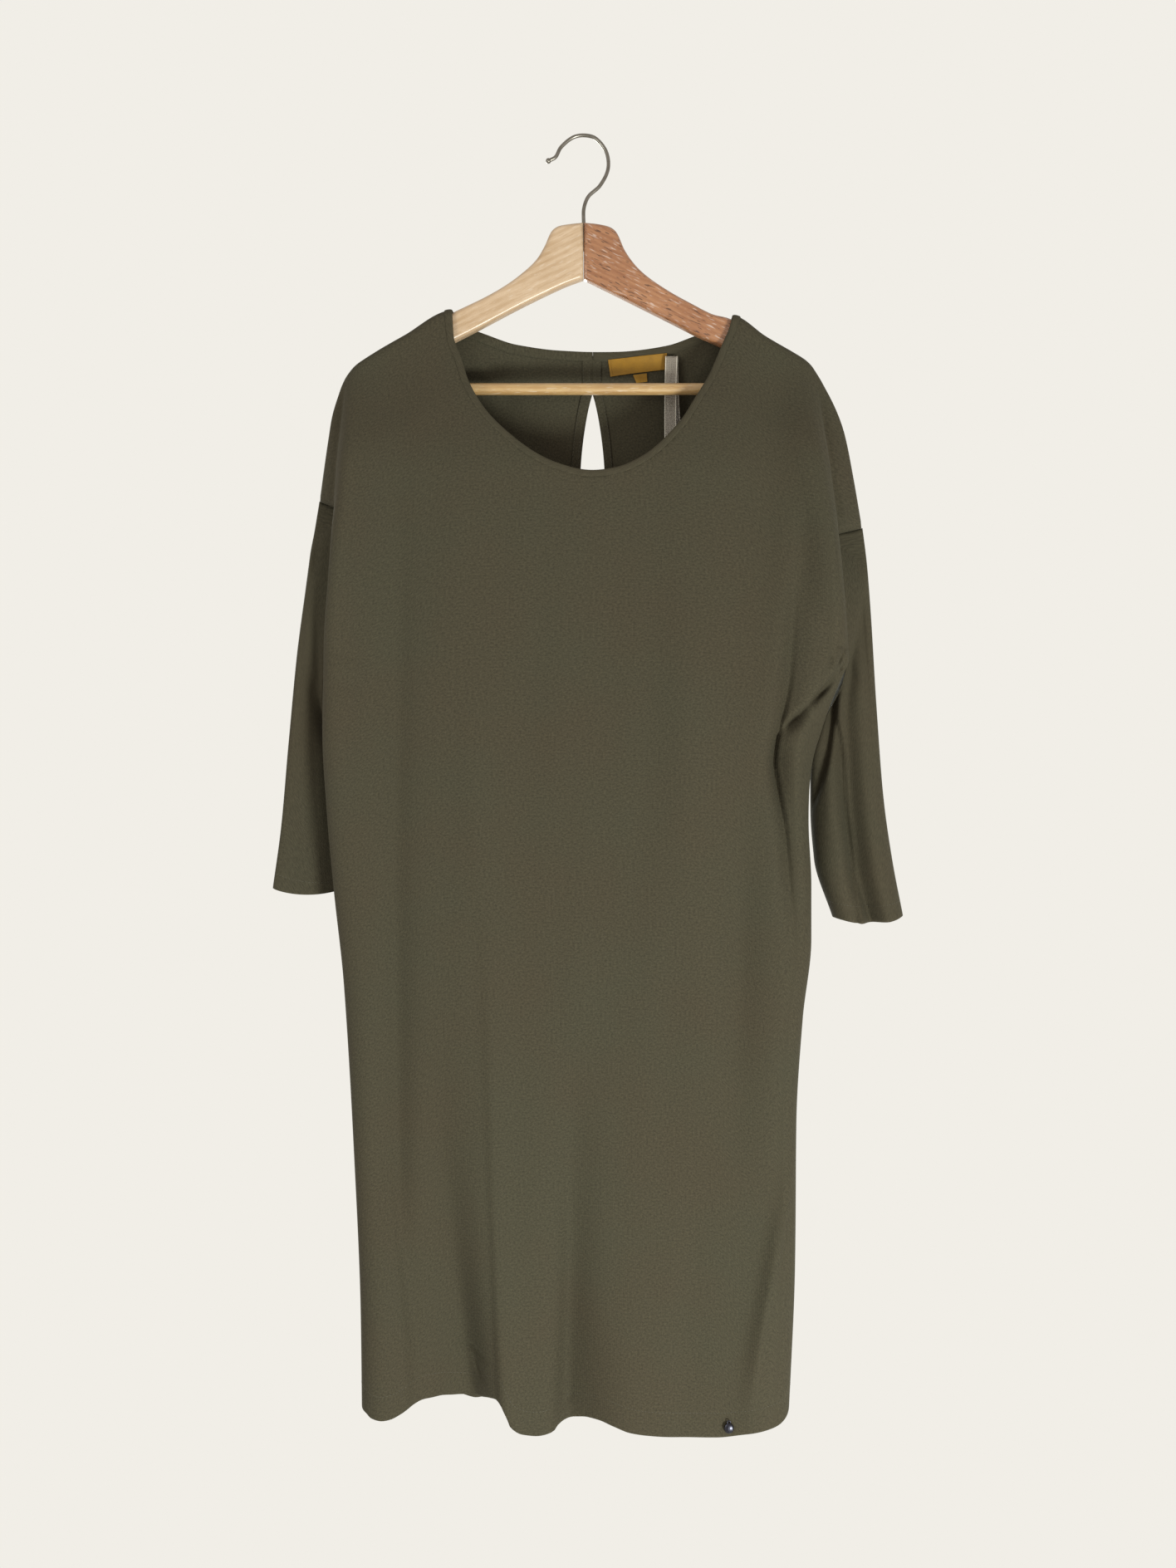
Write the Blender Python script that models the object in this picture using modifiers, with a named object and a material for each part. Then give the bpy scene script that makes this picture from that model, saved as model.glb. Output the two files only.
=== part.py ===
"""A jersey dress with dropped shoulders and three-quarter sleeves, hung on a wooden hanger.

All sizes are in millimetres. X runs to the right as the front is seen, Y to the back and Z up.
The origin is the inner top of the hanger's hook, where the hook rests on what carries it.
Cloth is made as a grid that a function of two shares, u across and v down, bends into place.
"""

import math

import bmesh
import bpy
from mathutils import Matrix, Vector

MM = 0.001

# Cloth and seams
WALL = 1.2
RIBBON_WALL = 1.0
SEAM_GAP, SIDE_GAP = 0.6, 1.5
ARMHOLE_GAP = 2.4

# Shoulders: the line of the seam over the arms of the hanger, and down the dropped shoulders
NECK_LEFT, NECK_RIGHT = -117.5, 133.5
SHOULDER_X_Z_Y = (
    (-238.3, -324.7, 10.0),
    (-232.7, -292.8, 5.0),
    (-225.6, -262.0, 2.0),
    (-219.6, -238.0, 0.0),
    (-213.5, -215.7, 0.0),
    (-203.2, -204.2, 0.0),
    (-160.0, -178.6, 0.0),
    (NECK_LEFT, -156.2, 0.0),
    (NECK_RIGHT, -161.2, 0.0),
    (162.6, -179.2, 0.0),
    (196.1, -197.0, 0.0),
    (206.8, -204.6, 0.0),
    (214.4, -214.9, 0.0),
    (226.7, -242.2, 0.0),
    (235.0, -265.1, 3.0),
    (242.5, -303.2, 5.0),
    (251.0, -349.0, 8.0),
)
# The cloth rolls over the arm in a quarter turn, clears it, and settles to its free depth below
ROLL = 8.0
ROLL_LENGTH = 14.6
ROLL_PAST_ARM, ROLL_WIDENS = 34.0, 14.0
ARM_CLEAR = 10.5
SETTLE = 90.0
NECK_SETTLE = 55.0

# Where on the shoulder line the columns of the cloth start, from one end of the arms to the other:
# the sides run down the dropped shoulder, the armhole and the side seam
START_U_X = (
    (0.0, -213.5), (0.035, -209.5), (0.07, -203.5), (0.11, -192.0), (0.27, NECK_LEFT),
    (0.79, NECK_RIGHT), (0.91, 192.0), (0.945, 203.5), (0.97, 209.5), (1.0, 214.4),
)

# The sides of the body below the arms of the hanger: the outermost cloth of the front and of the
# back at each height, and the place of the side seam between them
SIDE_COLUMNS = ("z", "front", "back", "seam_x", "seam_y")
SIDE_LEFT = (
    (-200.0, -211.5, -211.5, -211.5, 0.0),
    (-240.0, -214.5, -214.5, -214.5, 0.0),
    (-297.0, -218.5, -218.5, -218.5, 3.0),
    (-342.0, -222.8, -223.5, -222.8, 5.0),
    (-395.0, -227.5, -227.5, -227.5, 4.0),
    (-447.0, -230.5, -230.0, -230.3, 0.0),
    (-533.0, -232.4, -231.0, -232.0, -2.0),
    (-606.0, -228.3, -227.0, -228.0, -2.0),
    (-676.0, -222.1, -221.5, -222.0, -1.0),
    (-757.0, -213.5, -213.5, -213.5, 0.0),
    (-912.0, -204.4, -204.4, -204.4, 2.0),
    (-1051.0, -198.4, -198.4, -198.4, 2.0),
    (-1150.0, -197.0, -197.0, -197.0, 2.0),
)
SIDE_RIGHT = (
    (-200.0, 205.5, 205.5, 205.5, 0.0),
    (-248.0, 211.0, 211.0, 211.0, 0.0),
    (-300.0, 218.0, 218.0, 218.0, 2.0),
    (-362.0, 227.0, 224.0, 227.0, 2.0),
    (-404.0, 230.6, 225.0, 230.6, -1.0),
    (-449.0, 232.5, 226.0, 235.0, -5.0),
    (-468.0, 231.5, 226.0, 236.3, -6.0),
    (-487.0, 226.0, 225.0, 229.5, -2.0),
    (-508.0, 216.0, 221.0, 222.0, 6.0),
    (-530.0, 206.0, 215.0, 215.0, 9.0),
    (-560.0, 200.5, 206.5, 206.0, 9.0),
    (-590.0, 200.3, 202.0, 202.0, 6.0),
    (-618.0, 200.8, 200.8, 200.8, 4.0),
    (-669.0, 203.0, 203.0, 203.0, 2.0),
    (-718.0, 203.0, 203.0, 203.0, 2.0),
    (-789.0, 195.3, 195.3, 195.3, 2.0),
    (-883.0, 189.5, 189.5, 189.5, 2.0),
    (-1008.0, 188.2, 188.2, 188.2, 2.0),
    (-1150.0, 182.0, 182.0, 182.0, 2.0),
)
# How far the front and the back stand from the plane of the hanger
DEPTH_Z_FRONT_BACK = (
    (-156.0, -14.0, 12.0),
    (-200.0, -17.0, 26.0),
    (-240.0, -22.0, 28.0),
    (-307.0, -32.0, 28.0),
    (-450.0, -31.0, 26.0),
    (-700.0, -29.0, 26.0),
    (-950.0, -31.0, 31.0),
    (-1150.0, -36.0, 38.0),
)
EDGE_SHARE = 0.10
EDGE_SQUARE = 1.4
# How much of the turn at a side is taken up by the way from its edge to the seam
SEAM_REACH = 0.75
SEAM_COLUMN = 0.3
UNDERARM_FADE = 30.0
# A side that lies less deep than this behind its layer turns less, and a flat one not at all
TURN_DEPTH = 9.0
# Past this far from the middle the shoulder line leaves the arm of the hanger
ARM_REACH = 210.0
# The gap of a side seam is wider above the underarm, from this far out, and is held at the seam only
GAP_FROM_X, GAP_FADE, SEAM_SHARE = 203.0, 40.0, 0.025
EDGE_ROUND_LEFT, EDGE_ROUND_RIGHT = 26.0, 30.0

# The folds: where the middle of each runs from its top to its bottom, how wide it is to its left
# and right, how deep it is at its top, middle and bottom, and over what height it fades out.
# A positive depth is a trough, pressed in from outside; a negative one is a ridge.
FOLD_COLUMNS = ("x0", "z0", "x1", "z1", "left", "right", "d0", "dm", "d1", "fade")
FRONT_FOLDS = (
    (-166.0, -330.0, -170.0, -900.0, 16.0, 20.0, 2.0, 4.0, 5.0, 110.0),
    (-150.0, -700.0, -107.0, -1165.0, 34.0, 26.0, 0.0, 9.0, 56.0, 60.0),
    (-112.0, -345.0, -76.0, -1130.0, 24.0, 30.0, -1.5, -3.5, -5.0, 120.0),
    (-24.0, -760.0, -7.0, -1165.0, 20.0, 20.0, 0.0, 8.0, 23.0, 60.0),
    (88.0, -400.0, 88.0, -660.0, 26.0, 26.0, -3.0, -5.0, -3.0, 110.0),
    (154.0, -270.0, 158.0, -450.0, 26.0, 20.0, 4.0, 6.0, 3.0, 80.0),
    (138.0, -620.0, 132.0, -840.0, 18.0, 20.0, 3.0, 6.0, 3.0, 90.0),
    (191.0, -380.0, 171.0, -560.0, 9.0, 12.0, 3.0, 7.0, 8.0, 60.0),
    (171.0, -560.0, 185.0, -720.0, 8.0, 10.0, 8.0, 6.0, 2.0, 40.0),
    (186.0, -905.0, 147.0, -1120.0, 10.0, 22.0, -2.0, -5.0, -3.0, 60.0),
)
BACK_FOLDS = (
    (-150.0, -430.0, -165.0, -700.0, 60.0, 50.0, 4.0, 8.0, 5.0, 90.0),
    (-70.0, -520.0, -92.0, -1165.0, 26.0, 26.0, 0.0, 6.0, 15.0, 90.0),
    (70.0, -420.0, 62.0, -1165.0, 30.0, 30.0, 0.0, 6.0, 16.0, 90.0),
    (150.0, -560.0, 140.0, -1165.0, 22.0, 26.0, 0.0, 4.0, 9.0, 90.0),
)

# Hem: its lowest level in front and at the back, and how much cloth that lies deeper rises
HEM_FRONT, HEM_BACK = -1150.0, -1138.0
HEM_DEEPEST, HEM_RISE = -40.0, 0.25
# The rise is less by this share where the cloth lies further back than the last two depths
HEM_LEVELS, HEM_LEVEL_FROM, HEM_LEVEL_TO = 0.25, -5.0, 35.0

# Armholes: the dropped shoulder point, the underarm point, and how far the seam bows between them
ARMHOLE_COLUMNS = ("top", "bottom", "forward", "backward", "inward")
ARMHOLE_LEFT = ((-238.3, 10.0, -324.7), (-230.6, -1.0, -475.0), 13.0, 12.0, 7.0)
ARMHOLE_RIGHT = ((251.0, 8.0, -349.0), (236.4, -6.0, -470.0), 7.0, 20.0, -10.0)

# Sleeves: a row for each section, with the place of its outer and inner fold, how far its front
# and back layers bulge between them, and how deep the crease along its front is.
SLEEVE_COLUMNS = (
    "along", "outer_x", "outer_y", "outer_z", "inner_x", "inner_y", "inner_z", "front", "back", "crease",
)
SLEEVE_LEFT = (
    (0.00, -238.3, 10.0, -324.7, -230.6, -1.0, -475.0, 13.0, 12.0, 0.0),
    (0.10, -244.2, 11.2, -360.0, -234.5, 3.0, -491.0, 15.0, 15.0, 0.0),
    (0.20, -250.5, 12.0, -406.0, -236.0, 12.0, -511.0, 17.0, 17.0, 0.0),
    (0.35, -258.5, 12.0, -462.0, -230.0, 28.0, -549.0, 14.0, 14.0, 0.0),
    (0.55, -266.5, 12.0, -541.0, -202.0, 39.0, -604.0, 9.0, 10.0, 0.0),
    (0.78, -273.5, 12.0, -619.0, -180.0, 42.0, -640.0, 7.0, 8.0, 0.0),
    (1.00, -281.0, 12.0, -674.0, -178.0, 42.0, -654.0, 7.0, 8.0, 0.0),
)
SLEEVE_RIGHT = (
    (0.00, 251.0, 8.0, -349.0, 236.4, -6.0, -470.0, 7.0, 20.0, 0.0),
    (0.10, 255.5, 9.5, -382.0, 238.2, -4.0, -491.0, 7.5, 23.0, 0.0),
    (0.20, 259.2, 11.0, -425.0, 238.5, 2.0, -512.0, 9.0, 26.0, 3.0),
    (0.38, 264.5, 12.0, -509.0, 225.5, 11.0, -552.0, 15.0, 27.0, 10.0),
    (0.60, 270.5, 12.0, -590.0, 208.0, 14.0, -603.0, 21.0, 28.0, 16.0),
    (0.80, 278.5, 12.0, -648.0, 209.5, 14.0, -648.0, 24.0, 28.0, 20.0),
    (1.00, 288.0, 12.0, -698.0, 226.0, 13.0, -700.0, 26.0, 28.0, 22.0),
)
CREASE_AT, CREASE_WIDTH = 0.47, 0.13
HOLE_REACH = 0.12
GAP_REACH, GAP_DOWN = 0.15, 0.3
BULGE_BIAS_LEFT, BULGE_BIAS_RIGHT = 0.7, 0.0
CUFF_SAG_LEFT, CUFF_SAG_RIGHT, CUFF_REACH = 14.0, 5.0, 0.4

# Neck: the edge of the opening as points across and down from the shoulder line
NECK_FRONT_X_DROP = (
    (-117.5, 0.0), (-116.6, 12.0), (-115.0, 29.0), (-109.0, 45.0), (-100.7, 69.7), (-85.6, 95.0),
    (-64.0, 116.8), (-38.0, 135.5), (-10.0, 146.0), (12.0, 148.0), (36.0, 142.5), (60.0, 128.0),
    (84.3, 102.2), (99.2, 78.0), (111.0, 57.3), (122.8, 29.5), (130.0, 12.0), (133.5, 0.0),
)
NECK_BACK_X_DROP = (
    (-117.5, 0.0), (-115.0, 5.0), (-107.0, 10.0), (-92.0, 15.0), (-60.0, 23.5), (-12.6, 27.8),
    (38.0, 27.0), (75.0, 21.4), (103.6, 12.5), (121.0, 9.0), (130.5, 5.0), (133.5, 0.0),
)
BINDING_FRONT, BINDING_BACK, BINDING_GAP = 6.0, 8.4, 0.8
BINDING_STEPS, BINDING_ACROSS = 84, 2
# The share of the neck's edge over which the width changes by the shoulders, and a short step of it
BINDING_CHANGE, NECK_STEP = 0.1, 0.004
# How the steps of the binding are shared out: 1 and 2 are the shoulders, where they lie closest
BINDING_PLACES = (
    (0.0, 0.0), (0.12, 0.72), (0.21, 1.0), (0.28, 1.06), (0.72, 1.94), (0.79, 2.0), (0.88, 2.28), (1.0, 3.0),
)
BACK_NECK, CENTRE_NECK = 290.0, 0.503
CUTTER_REACH = 90.0

# Back: the centre seam and the slit in it
CENTRE_BACK_X, CENTRE_REACH = 8.0, 0.6
SLIT_TOP, SLIT_LENGTH, SLIT_WIDTH = -222.0, 180.0, 24.0
SLIT_ROUND, SLIT_FADE = 0.75, 3

# Label, size tab, hanging loop and bead
LABEL_CORNERS_X_Z = ((22.1, -192.6), (75.9, -187.0), (76.4, -201.0), (24.4, -207.6))
TAB_CORNERS_X_Z = ((45.0, -206.2), (57.6, -204.7), (58.2, -212.2), (48.2, -213.7))
LABEL_CLEAR = 1.4
LOOP_WIDTH = 10.0
LOOP_X_Y_Z = (
    (81.5, 20.6, -190.0), (82.5, 20.0, -230.0), (85.0, 17.0, -280.0), (87.0, 13.0, -325.0),
    (86.0, 8.5, -337.0), (82.0, 4.5, -338.0), (79.5, 3.0, -326.0), (78.5, 8.5, -280.0),
    (78.0, 14.0, -230.0), (78.0, 17.4, -191.0),
)
BEAD_X, BEAD_Z, BEAD_GAP, BEAD_SIZE = 126.4, -1140.0, 0.35, (9.0, 4.4, 11.0)

# Hanger
ARM_THICKNESS, ARM_EDGE = 13.0, 4.0
MITRE_GAP = 0.4
ARM_LEFT_TOP_X_Z = (
    (-13.0, -79.2), (-23.5, -81.4), (-29.2, -86.2), (-35.1, -99.1), (-42.7, -111.4), (-56.0, -123.8),
    (-71.3, -134.8), (-88.5, -144.6), (-117.0, -158.4), (-160.0, -180.8), (-198.0, -203.0),
    (-206.0, -209.5),
)
ARM_LEFT_END_X_Z = ((-209.6, -216.5), (-209.8, -226.0), (-206.0, -234.0), (-199.0, -235.6), (-193.0, -231.0))
ARM_LEFT_BOTTOM_X_Z = ((-175.0, -214.6), (-114.7, -183.4), (-93.6, -172.6), (-55.7, -152.6), (-17.9, -134.4))
ARM_RIGHT_TOP_X_Z = (
    (13.0, -79.2), (24.0, -82.0), (29.8, -87.0), (37.1, -102.9), (46.6, -116.2), (58.0, -126.7),
    (76.9, -139.4), (96.0, -150.0), (115.0, -159.6), (131.0, -163.9), (162.6, -181.4), (196.0, -200.6),
    (202.0, -206.0),
)
ARM_RIGHT_END_X_Z = ((205.2, -213.5), (206.2, -223.0), (204.0, -233.0), (198.0, -235.6), (191.0, -231.5))
ARM_RIGHT_BOTTOM_X_Z = ((172.0, -214.4), (123.9, -188.4), (101.2, -178.2), (76.6, -165.7), (19.9, -137.4))
ARM_TOP, ARM_NOTCH = -77.9, -127.8
BAR_RADIUS, BAR_Z, BAR_LEFT, BAR_RIGHT = 5.25, -225.9, -200.5, 198.0
FIT_GAP, END_GAP = 0.3, 0.8
WIRE_RADIUS, WIRE_END = 1.65, -102.0
BALL_RADIUS = 2.4
HOOK_X_Z = (
    (-31.6, -21.2), (-25.2, -17.7), (-20.5, -9.2), (-10.0, -0.4), (0.0, 1.7), (10.8, -1.1),
    (20.4, -13.5), (21.8, -28.7), (14.6, -43.4), (4.2, -53.3), (0.2, -64.0), (0.0, -77.0),
)

# Meshes
BODY_ROWS, FRONT_COLUMNS, BACK_COLUMNS = 32, 34, 18
ROW_SPREAD = 1.6
TOP_ROWS, POINT_ROWS, UNDERARM_ROWS = 3.0 / BODY_ROWS, 9.0 / BODY_ROWS, 14.0 / BODY_ROWS
ROWS_MOVE_FROM, ROWS_MOVE_TO = 0.36, 0.47
START_REACH = 60.0
SLEEVE_ROWS, SLEEVE_AROUND = 13, 24

# Colours as linear red, green and blue, roughness and metallic share
CLOTH_FINISH = ((0.089, 0.074, 0.044), 0.85, 0.0)
LABEL_FINISH = ((0.315, 0.162, 0.021), 0.8, 0.0)
RIBBON_FINISH = ((0.16, 0.12, 0.085), 0.6, 0.0)
BEAD_FINISH = ((0.05, 0.05, 0.055), 0.35, 1.0)
PALE_WOOD_FINISH = ((0.67, 0.5, 0.32), 0.4, 0.0)
RED_WOOD_FINISH = ((0.45, 0.2, 0.1), 0.35, 0.0)
WIRE_FINISH = ((0.55, 0.54, 0.52), 0.25, 1.0)


# Curves through the rows of a table


def clamp(value, low=0.0, high=1.0):
    return max(low, min(high, value))


def ease(value):
    share = clamp(value)
    return share * share * (3.0 - 2.0 * share)


def through(rows, column, at):
    """A smooth value of one column, at a place along the first column, without overshoot."""
    keys = [row[0] for row in rows]
    if keys[0] > keys[-1]:
        rows = rows[::-1]
        keys = keys[::-1]
    values = [row[column] for row in rows]
    if at <= keys[0]:
        return values[0]
    if at >= keys[-1]:
        return values[-1]
    last = len(keys) - 1
    place = next(i for i in range(last) if at <= keys[i + 1])
    slopes = [(values[i + 1] - values[i]) / (keys[i + 1] - keys[i]) for i in range(last)]

    def tangent(i):
        if i in (0, last) or slopes[i - 1] * slopes[i] <= 0.0:
            return 0.0 if 0 < i < last else slopes[min(i, last - 1)]
        return 2.0 * slopes[i - 1] * slopes[i] / (slopes[i - 1] + slopes[i])

    step = keys[place + 1] - keys[place]
    t = (at - keys[place]) / step
    low = values[place] * (1.0 + 2.0 * t) + step * tangent(place) * t
    high = values[place + 1] * (3.0 - 2.0 * t) - step * tangent(place + 1) * (1.0 - t)
    return low * (1.0 - t) ** 2 + high * t * t


def along(points, share):
    """A point at a share of the length of a smooth line through points of any dimension."""
    lengths = [0.0]
    for a, b in zip(points, points[1:]):
        lengths.append(lengths[-1] + math.dist(a, b))
    rows = [(length / lengths[-1], *point) for length, point in zip(lengths, points)]
    return [spline(rows, k + 1, share) for k in range(len(points[0]))]


def linear(rows, at):
    """The value of the second column at a place along the first, in straight runs."""
    for (low, start), (high, end) in zip(rows, rows[1:]):
        if at <= high:
            return start + (end - start) * (at - low) / (high - low)
    return rows[-1][1]


def spline(rows, column, at):
    """A cubic through the rows that keeps their bends round, for lines that turn back."""
    last = len(rows) - 1
    place = next((i for i in range(last) if at <= rows[i + 1][0]), last - 1)

    def tangent(i):
        low, high = max(i - 1, 0), min(i + 1, last)
        return (rows[high][column] - rows[low][column]) / (rows[high][0] - rows[low][0])

    step = rows[place + 1][0] - rows[place][0]
    t = clamp((at - rows[place][0]) / step)
    start, end = rows[place][column], rows[place + 1][column]
    rise = start * (1.0 + 2.0 * t) * (1.0 - t) ** 2 + end * t * t * (3.0 - 2.0 * t)
    return rise + step * (tangent(place) * t * (1.0 - t) ** 2 - tangent(place + 1) * t * t * (1.0 - t))


# The body of the dress


def fold_depth(folds, x, z):
    """How far the folds press the cloth in at a place."""
    total = 0.0
    for row in folds:
        fold = dict(zip(FOLD_COLUMNS, row))
        share = (fold["z0"] - z) / (fold["z0"] - fold["z1"])
        middle = fold["x0"] + (fold["x1"] - fold["x0"]) * clamp(share)
        width = fold["left"] if x < middle else fold["right"]
        t = clamp(share)
        depth = fold["d0"] * (1.0 - t) * (1.0 - 2.0 * t) + 4.0 * fold["dm"] * t * (1.0 - t)
        depth += fold["d1"] * t * (2.0 * t - 1.0)
        outside = max(z - fold["z0"], fold["z1"] - z, 0.0)
        fading = ease(1.0 - outside / fold["fade"])
        total += depth * fading * math.exp(-(((x - middle) / width) ** 2))
    return total


def shoulder_z(x):
    return through(SHOULDER_X_Z_Y, 1, x)


def start_x(u):
    """Where on the shoulder line the column of cloth at a share of the width starts."""
    return through(START_U_X, 1, u)


def drop_at(length):
    """How far below the shoulder seam the cloth is, at a length of cloth from the seam."""
    if length >= ROLL_LENGTH:
        return length - ROLL_LENGTH + ROLL
    return ROLL * (1.0 - math.cos(0.5 * math.pi * length / ROLL_LENGTH))


def length_at(drop):
    """The length of cloth from the shoulder seam to a place that far below it."""
    if drop >= ROLL:
        return drop - ROLL + ROLL_LENGTH
    return ROLL_LENGTH * math.acos(1.0 - drop / ROLL) / (0.5 * math.pi)


def layer_depth(back, x, z, drop):
    """How far from the hanger's plane the front or the back hangs, away from the side folds."""
    level = through(DEPTH_Z_FRONT_BACK, 2 if back else 1, z)
    outward = 1.0 if back else -1.0
    near_arm = outward * min(ARM_CLEAR, abs(level))
    free = ease(min(x - NECK_LEFT, NECK_RIGHT - x) / NECK_SETTLE)
    depth = near_arm + (level - near_arm) * max(ease(drop / SETTLE), free)
    depth -= outward * fold_depth(BACK_FOLDS if back else FRONT_FOLDS, x, z)
    past_arm = ease((abs(x) - ARM_REACH) / ROLL_WIDENS)
    roll = clamp(drop / (ROLL + (ROLL_PAST_ARM - ROLL) * past_arm))
    return depth * math.sqrt(1.0 - (1.0 - roll) ** 2)


def side_seam(table, hole, back, z):
    """The edge of the front or the back at one side: shoulder, armhole and side seam in turn."""
    top, bottom = Vector(hole[0]), Vector(hole[1])
    if z > top.z:
        dropped = sorted((row[1], row[0], row[2]) for row in SHOULDER_X_Z_Y if row[0] * top.x > ARM_REACH**2)
        return through(dropped, 1, z), through(dropped, 2, z)
    if z > bottom.z:
        edge = armhole(hole, back, z)
        return edge.x, edge.y
    fade = ease(1.0 - (bottom.z - z) / UNDERARM_FADE)
    found = []
    for name, meeting in (("seam_x", bottom.x), ("seam_y", bottom.y)):
        column = SIDE_COLUMNS.index(name)
        found.append(through(table, column, z) + (meeting - through(table, column, bottom.z)) * fade)
    return tuple(found)


def section(back, u, z, drop):
    """The point of the front or the back at a share of the width, on the section at a height."""
    column = SIDE_COLUMNS.index("back" if back else "front")
    inner_left = through(SIDE_LEFT, column, z) + EDGE_ROUND_LEFT
    inner_right = through(SIDE_RIGHT, column, z) - EDGE_ROUND_RIGHT
    if u < 0.5:
        seam_x, seam_y = side_seam(SIDE_LEFT, ARMHOLE_LEFT, back, z)
        inner, inward = inner_left, EDGE_ROUND_LEFT
    else:
        seam_x, seam_y = side_seam(SIDE_RIGHT, ARMHOLE_RIGHT, back, z)
        inner, inward = inner_right, -EDGE_ROUND_RIGHT
    share = clamp(min(u, 1.0 - u) / EDGE_SHARE)
    turn = 0.5 * math.pi * share
    turned = inner - inward + inward * (1.0 - math.cos(turn)) ** EDGE_SQUARE
    turned += (seam_x - inner + inward) * (1.0 - ease(math.sin(turn) / SEAM_REACH))
    flat = seam_x + (inner - seam_x) * share
    depth = layer_depth(back, inner, z, drop)
    x = flat + (turned - flat) * ease(abs(depth - seam_y) / TURN_DEPTH)
    across = clamp((u - EDGE_SHARE) / (1.0 - 2.0 * EDGE_SHARE))
    x += inner_left + (inner_right - inner_left) * across - inner
    y = seam_y + (layer_depth(back, x, z, drop) - seam_y) * math.sin(turn)
    return Vector((x, y, z))


def armhole(side, back, z):
    """The edge of a panel's armhole at a height between the shoulder point and the underarm."""
    hole = dict(zip(ARMHOLE_COLUMNS, side))
    top, bottom = Vector(hole["top"]), Vector(hole["bottom"])
    cosine = clamp(2.0 * (z - bottom.z) / (top.z - bottom.z) - 1.0, -1.0, 1.0)
    bow = 1.0 - cosine * cosine
    point = bottom.lerp(top, 0.5 + 0.5 * cosine)
    point.x += hole["inward"] * bow
    point.y += hole["backward"] * bow if back else -hole["forward"] * bow
    return point


def hem_z(back, u):
    low = HEM_BACK if back else HEM_FRONT
    if back:
        return low
    y = section(False, u, low, SETTLE).y
    level = HEM_LEVELS * ease((y - HEM_LEVEL_FROM) / (HEM_LEVEL_TO - HEM_LEVEL_FROM))
    return low + HEM_RISE * max(0.0, y - HEM_DEEPEST) * (1.0 - level)


def row_share(u, v, top_z, length):
    """The share of the height at v, moved so that rows end at the shoulder point and underarm."""
    hole = ARMHOLE_LEFT if u < 0.5 else ARMHOLE_RIGHT
    point, underarm = ((length_at(top_z - end[2]) / length) ** (1.0 / ROW_SPREAD) for end in hole[:2])
    rows = ((0.0, 0.0), (TOP_ROWS, TOP_ROWS), (POINT_ROWS, point), (UNDERARM_ROWS, underarm), (1.0, 1.0))
    return v + (through(rows, 1, v) - v) * ease((abs(u - 0.5) - ROWS_MOVE_FROM) / (ROWS_MOVE_TO - ROWS_MOVE_FROM))


def body(back, u, v):
    """A point of the front or the back at a share of its width and of its height."""
    x = start_x(u)
    top = Vector((x, through(SHOULDER_X_Z_Y, 2, x), shoulder_z(x)))
    length = length_at(top.z - hem_z(back, u))
    drop = drop_at(length * row_share(u, v, top.z, length) ** ROW_SPREAD)
    z = top.z - drop
    hold = ease(1.0 - drop / START_REACH)
    point = section(back, u, z, drop)
    base = section(back, u, top.z, 0.0)
    point.x += (top.x - base.x) * hold
    point.y += (top.y - base.y) * hold
    hole = ARMHOLE_LEFT if u < 0.5 else ARMHOLE_RIGHT
    above_underarm = ease((z - hole[1][2]) / GAP_FADE)
    past_arm = ease((abs(point.x) - GAP_FROM_X) / (ARM_REACH - GAP_FROM_X))
    gap = 0.5 * (SEAM_GAP + (SIDE_GAP - SEAM_GAP) * above_underarm * past_arm)
    side = min(u, 1.0 - u) / SEAM_SHARE
    point.y += gap * (1.0 if back else -1.0) * max(ease(1.0 - drop), ease(1.0 - side))
    return point


def slit_half(z):
    """Half the width of the open slit at a height."""
    share = (SLIT_TOP - z) / SLIT_LENGTH
    if share <= 0.0 or share >= 1.0:
        return 0.0
    return 0.5 * SLIT_WIDTH * math.sin(math.pi * share) ** SLIT_ROUND


def centre_back_share():
    """The share of the back's width at which its centre seam lies."""
    start, end = 0.0, 1.0
    for _ in range(40):
        middle = 0.5 * (start + end)
        if section(True, middle, HEM_BACK, SETTLE).x < CENTRE_BACK_X:
            start = middle
        else:
            end = middle
    return start


def back_half(side, centre, u, v):
    """One half of the back: u is 0 at the centre seam and 1 at the side seam."""
    whole_u = centre * (1.0 - u) if side < 0 else centre + (1.0 - centre) * u
    point = body(True, whole_u, v)
    shift = (CENTRE_BACK_X - body(True, centre, v).x) * (1.0 - ease(u / CENTRE_REACH))
    opening = (slit_half(point.z) + 0.5 * SEAM_GAP) * (1.0 - u) ** SLIT_FADE
    point.x += shift + side * opening
    return point


# The sleeves


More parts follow.
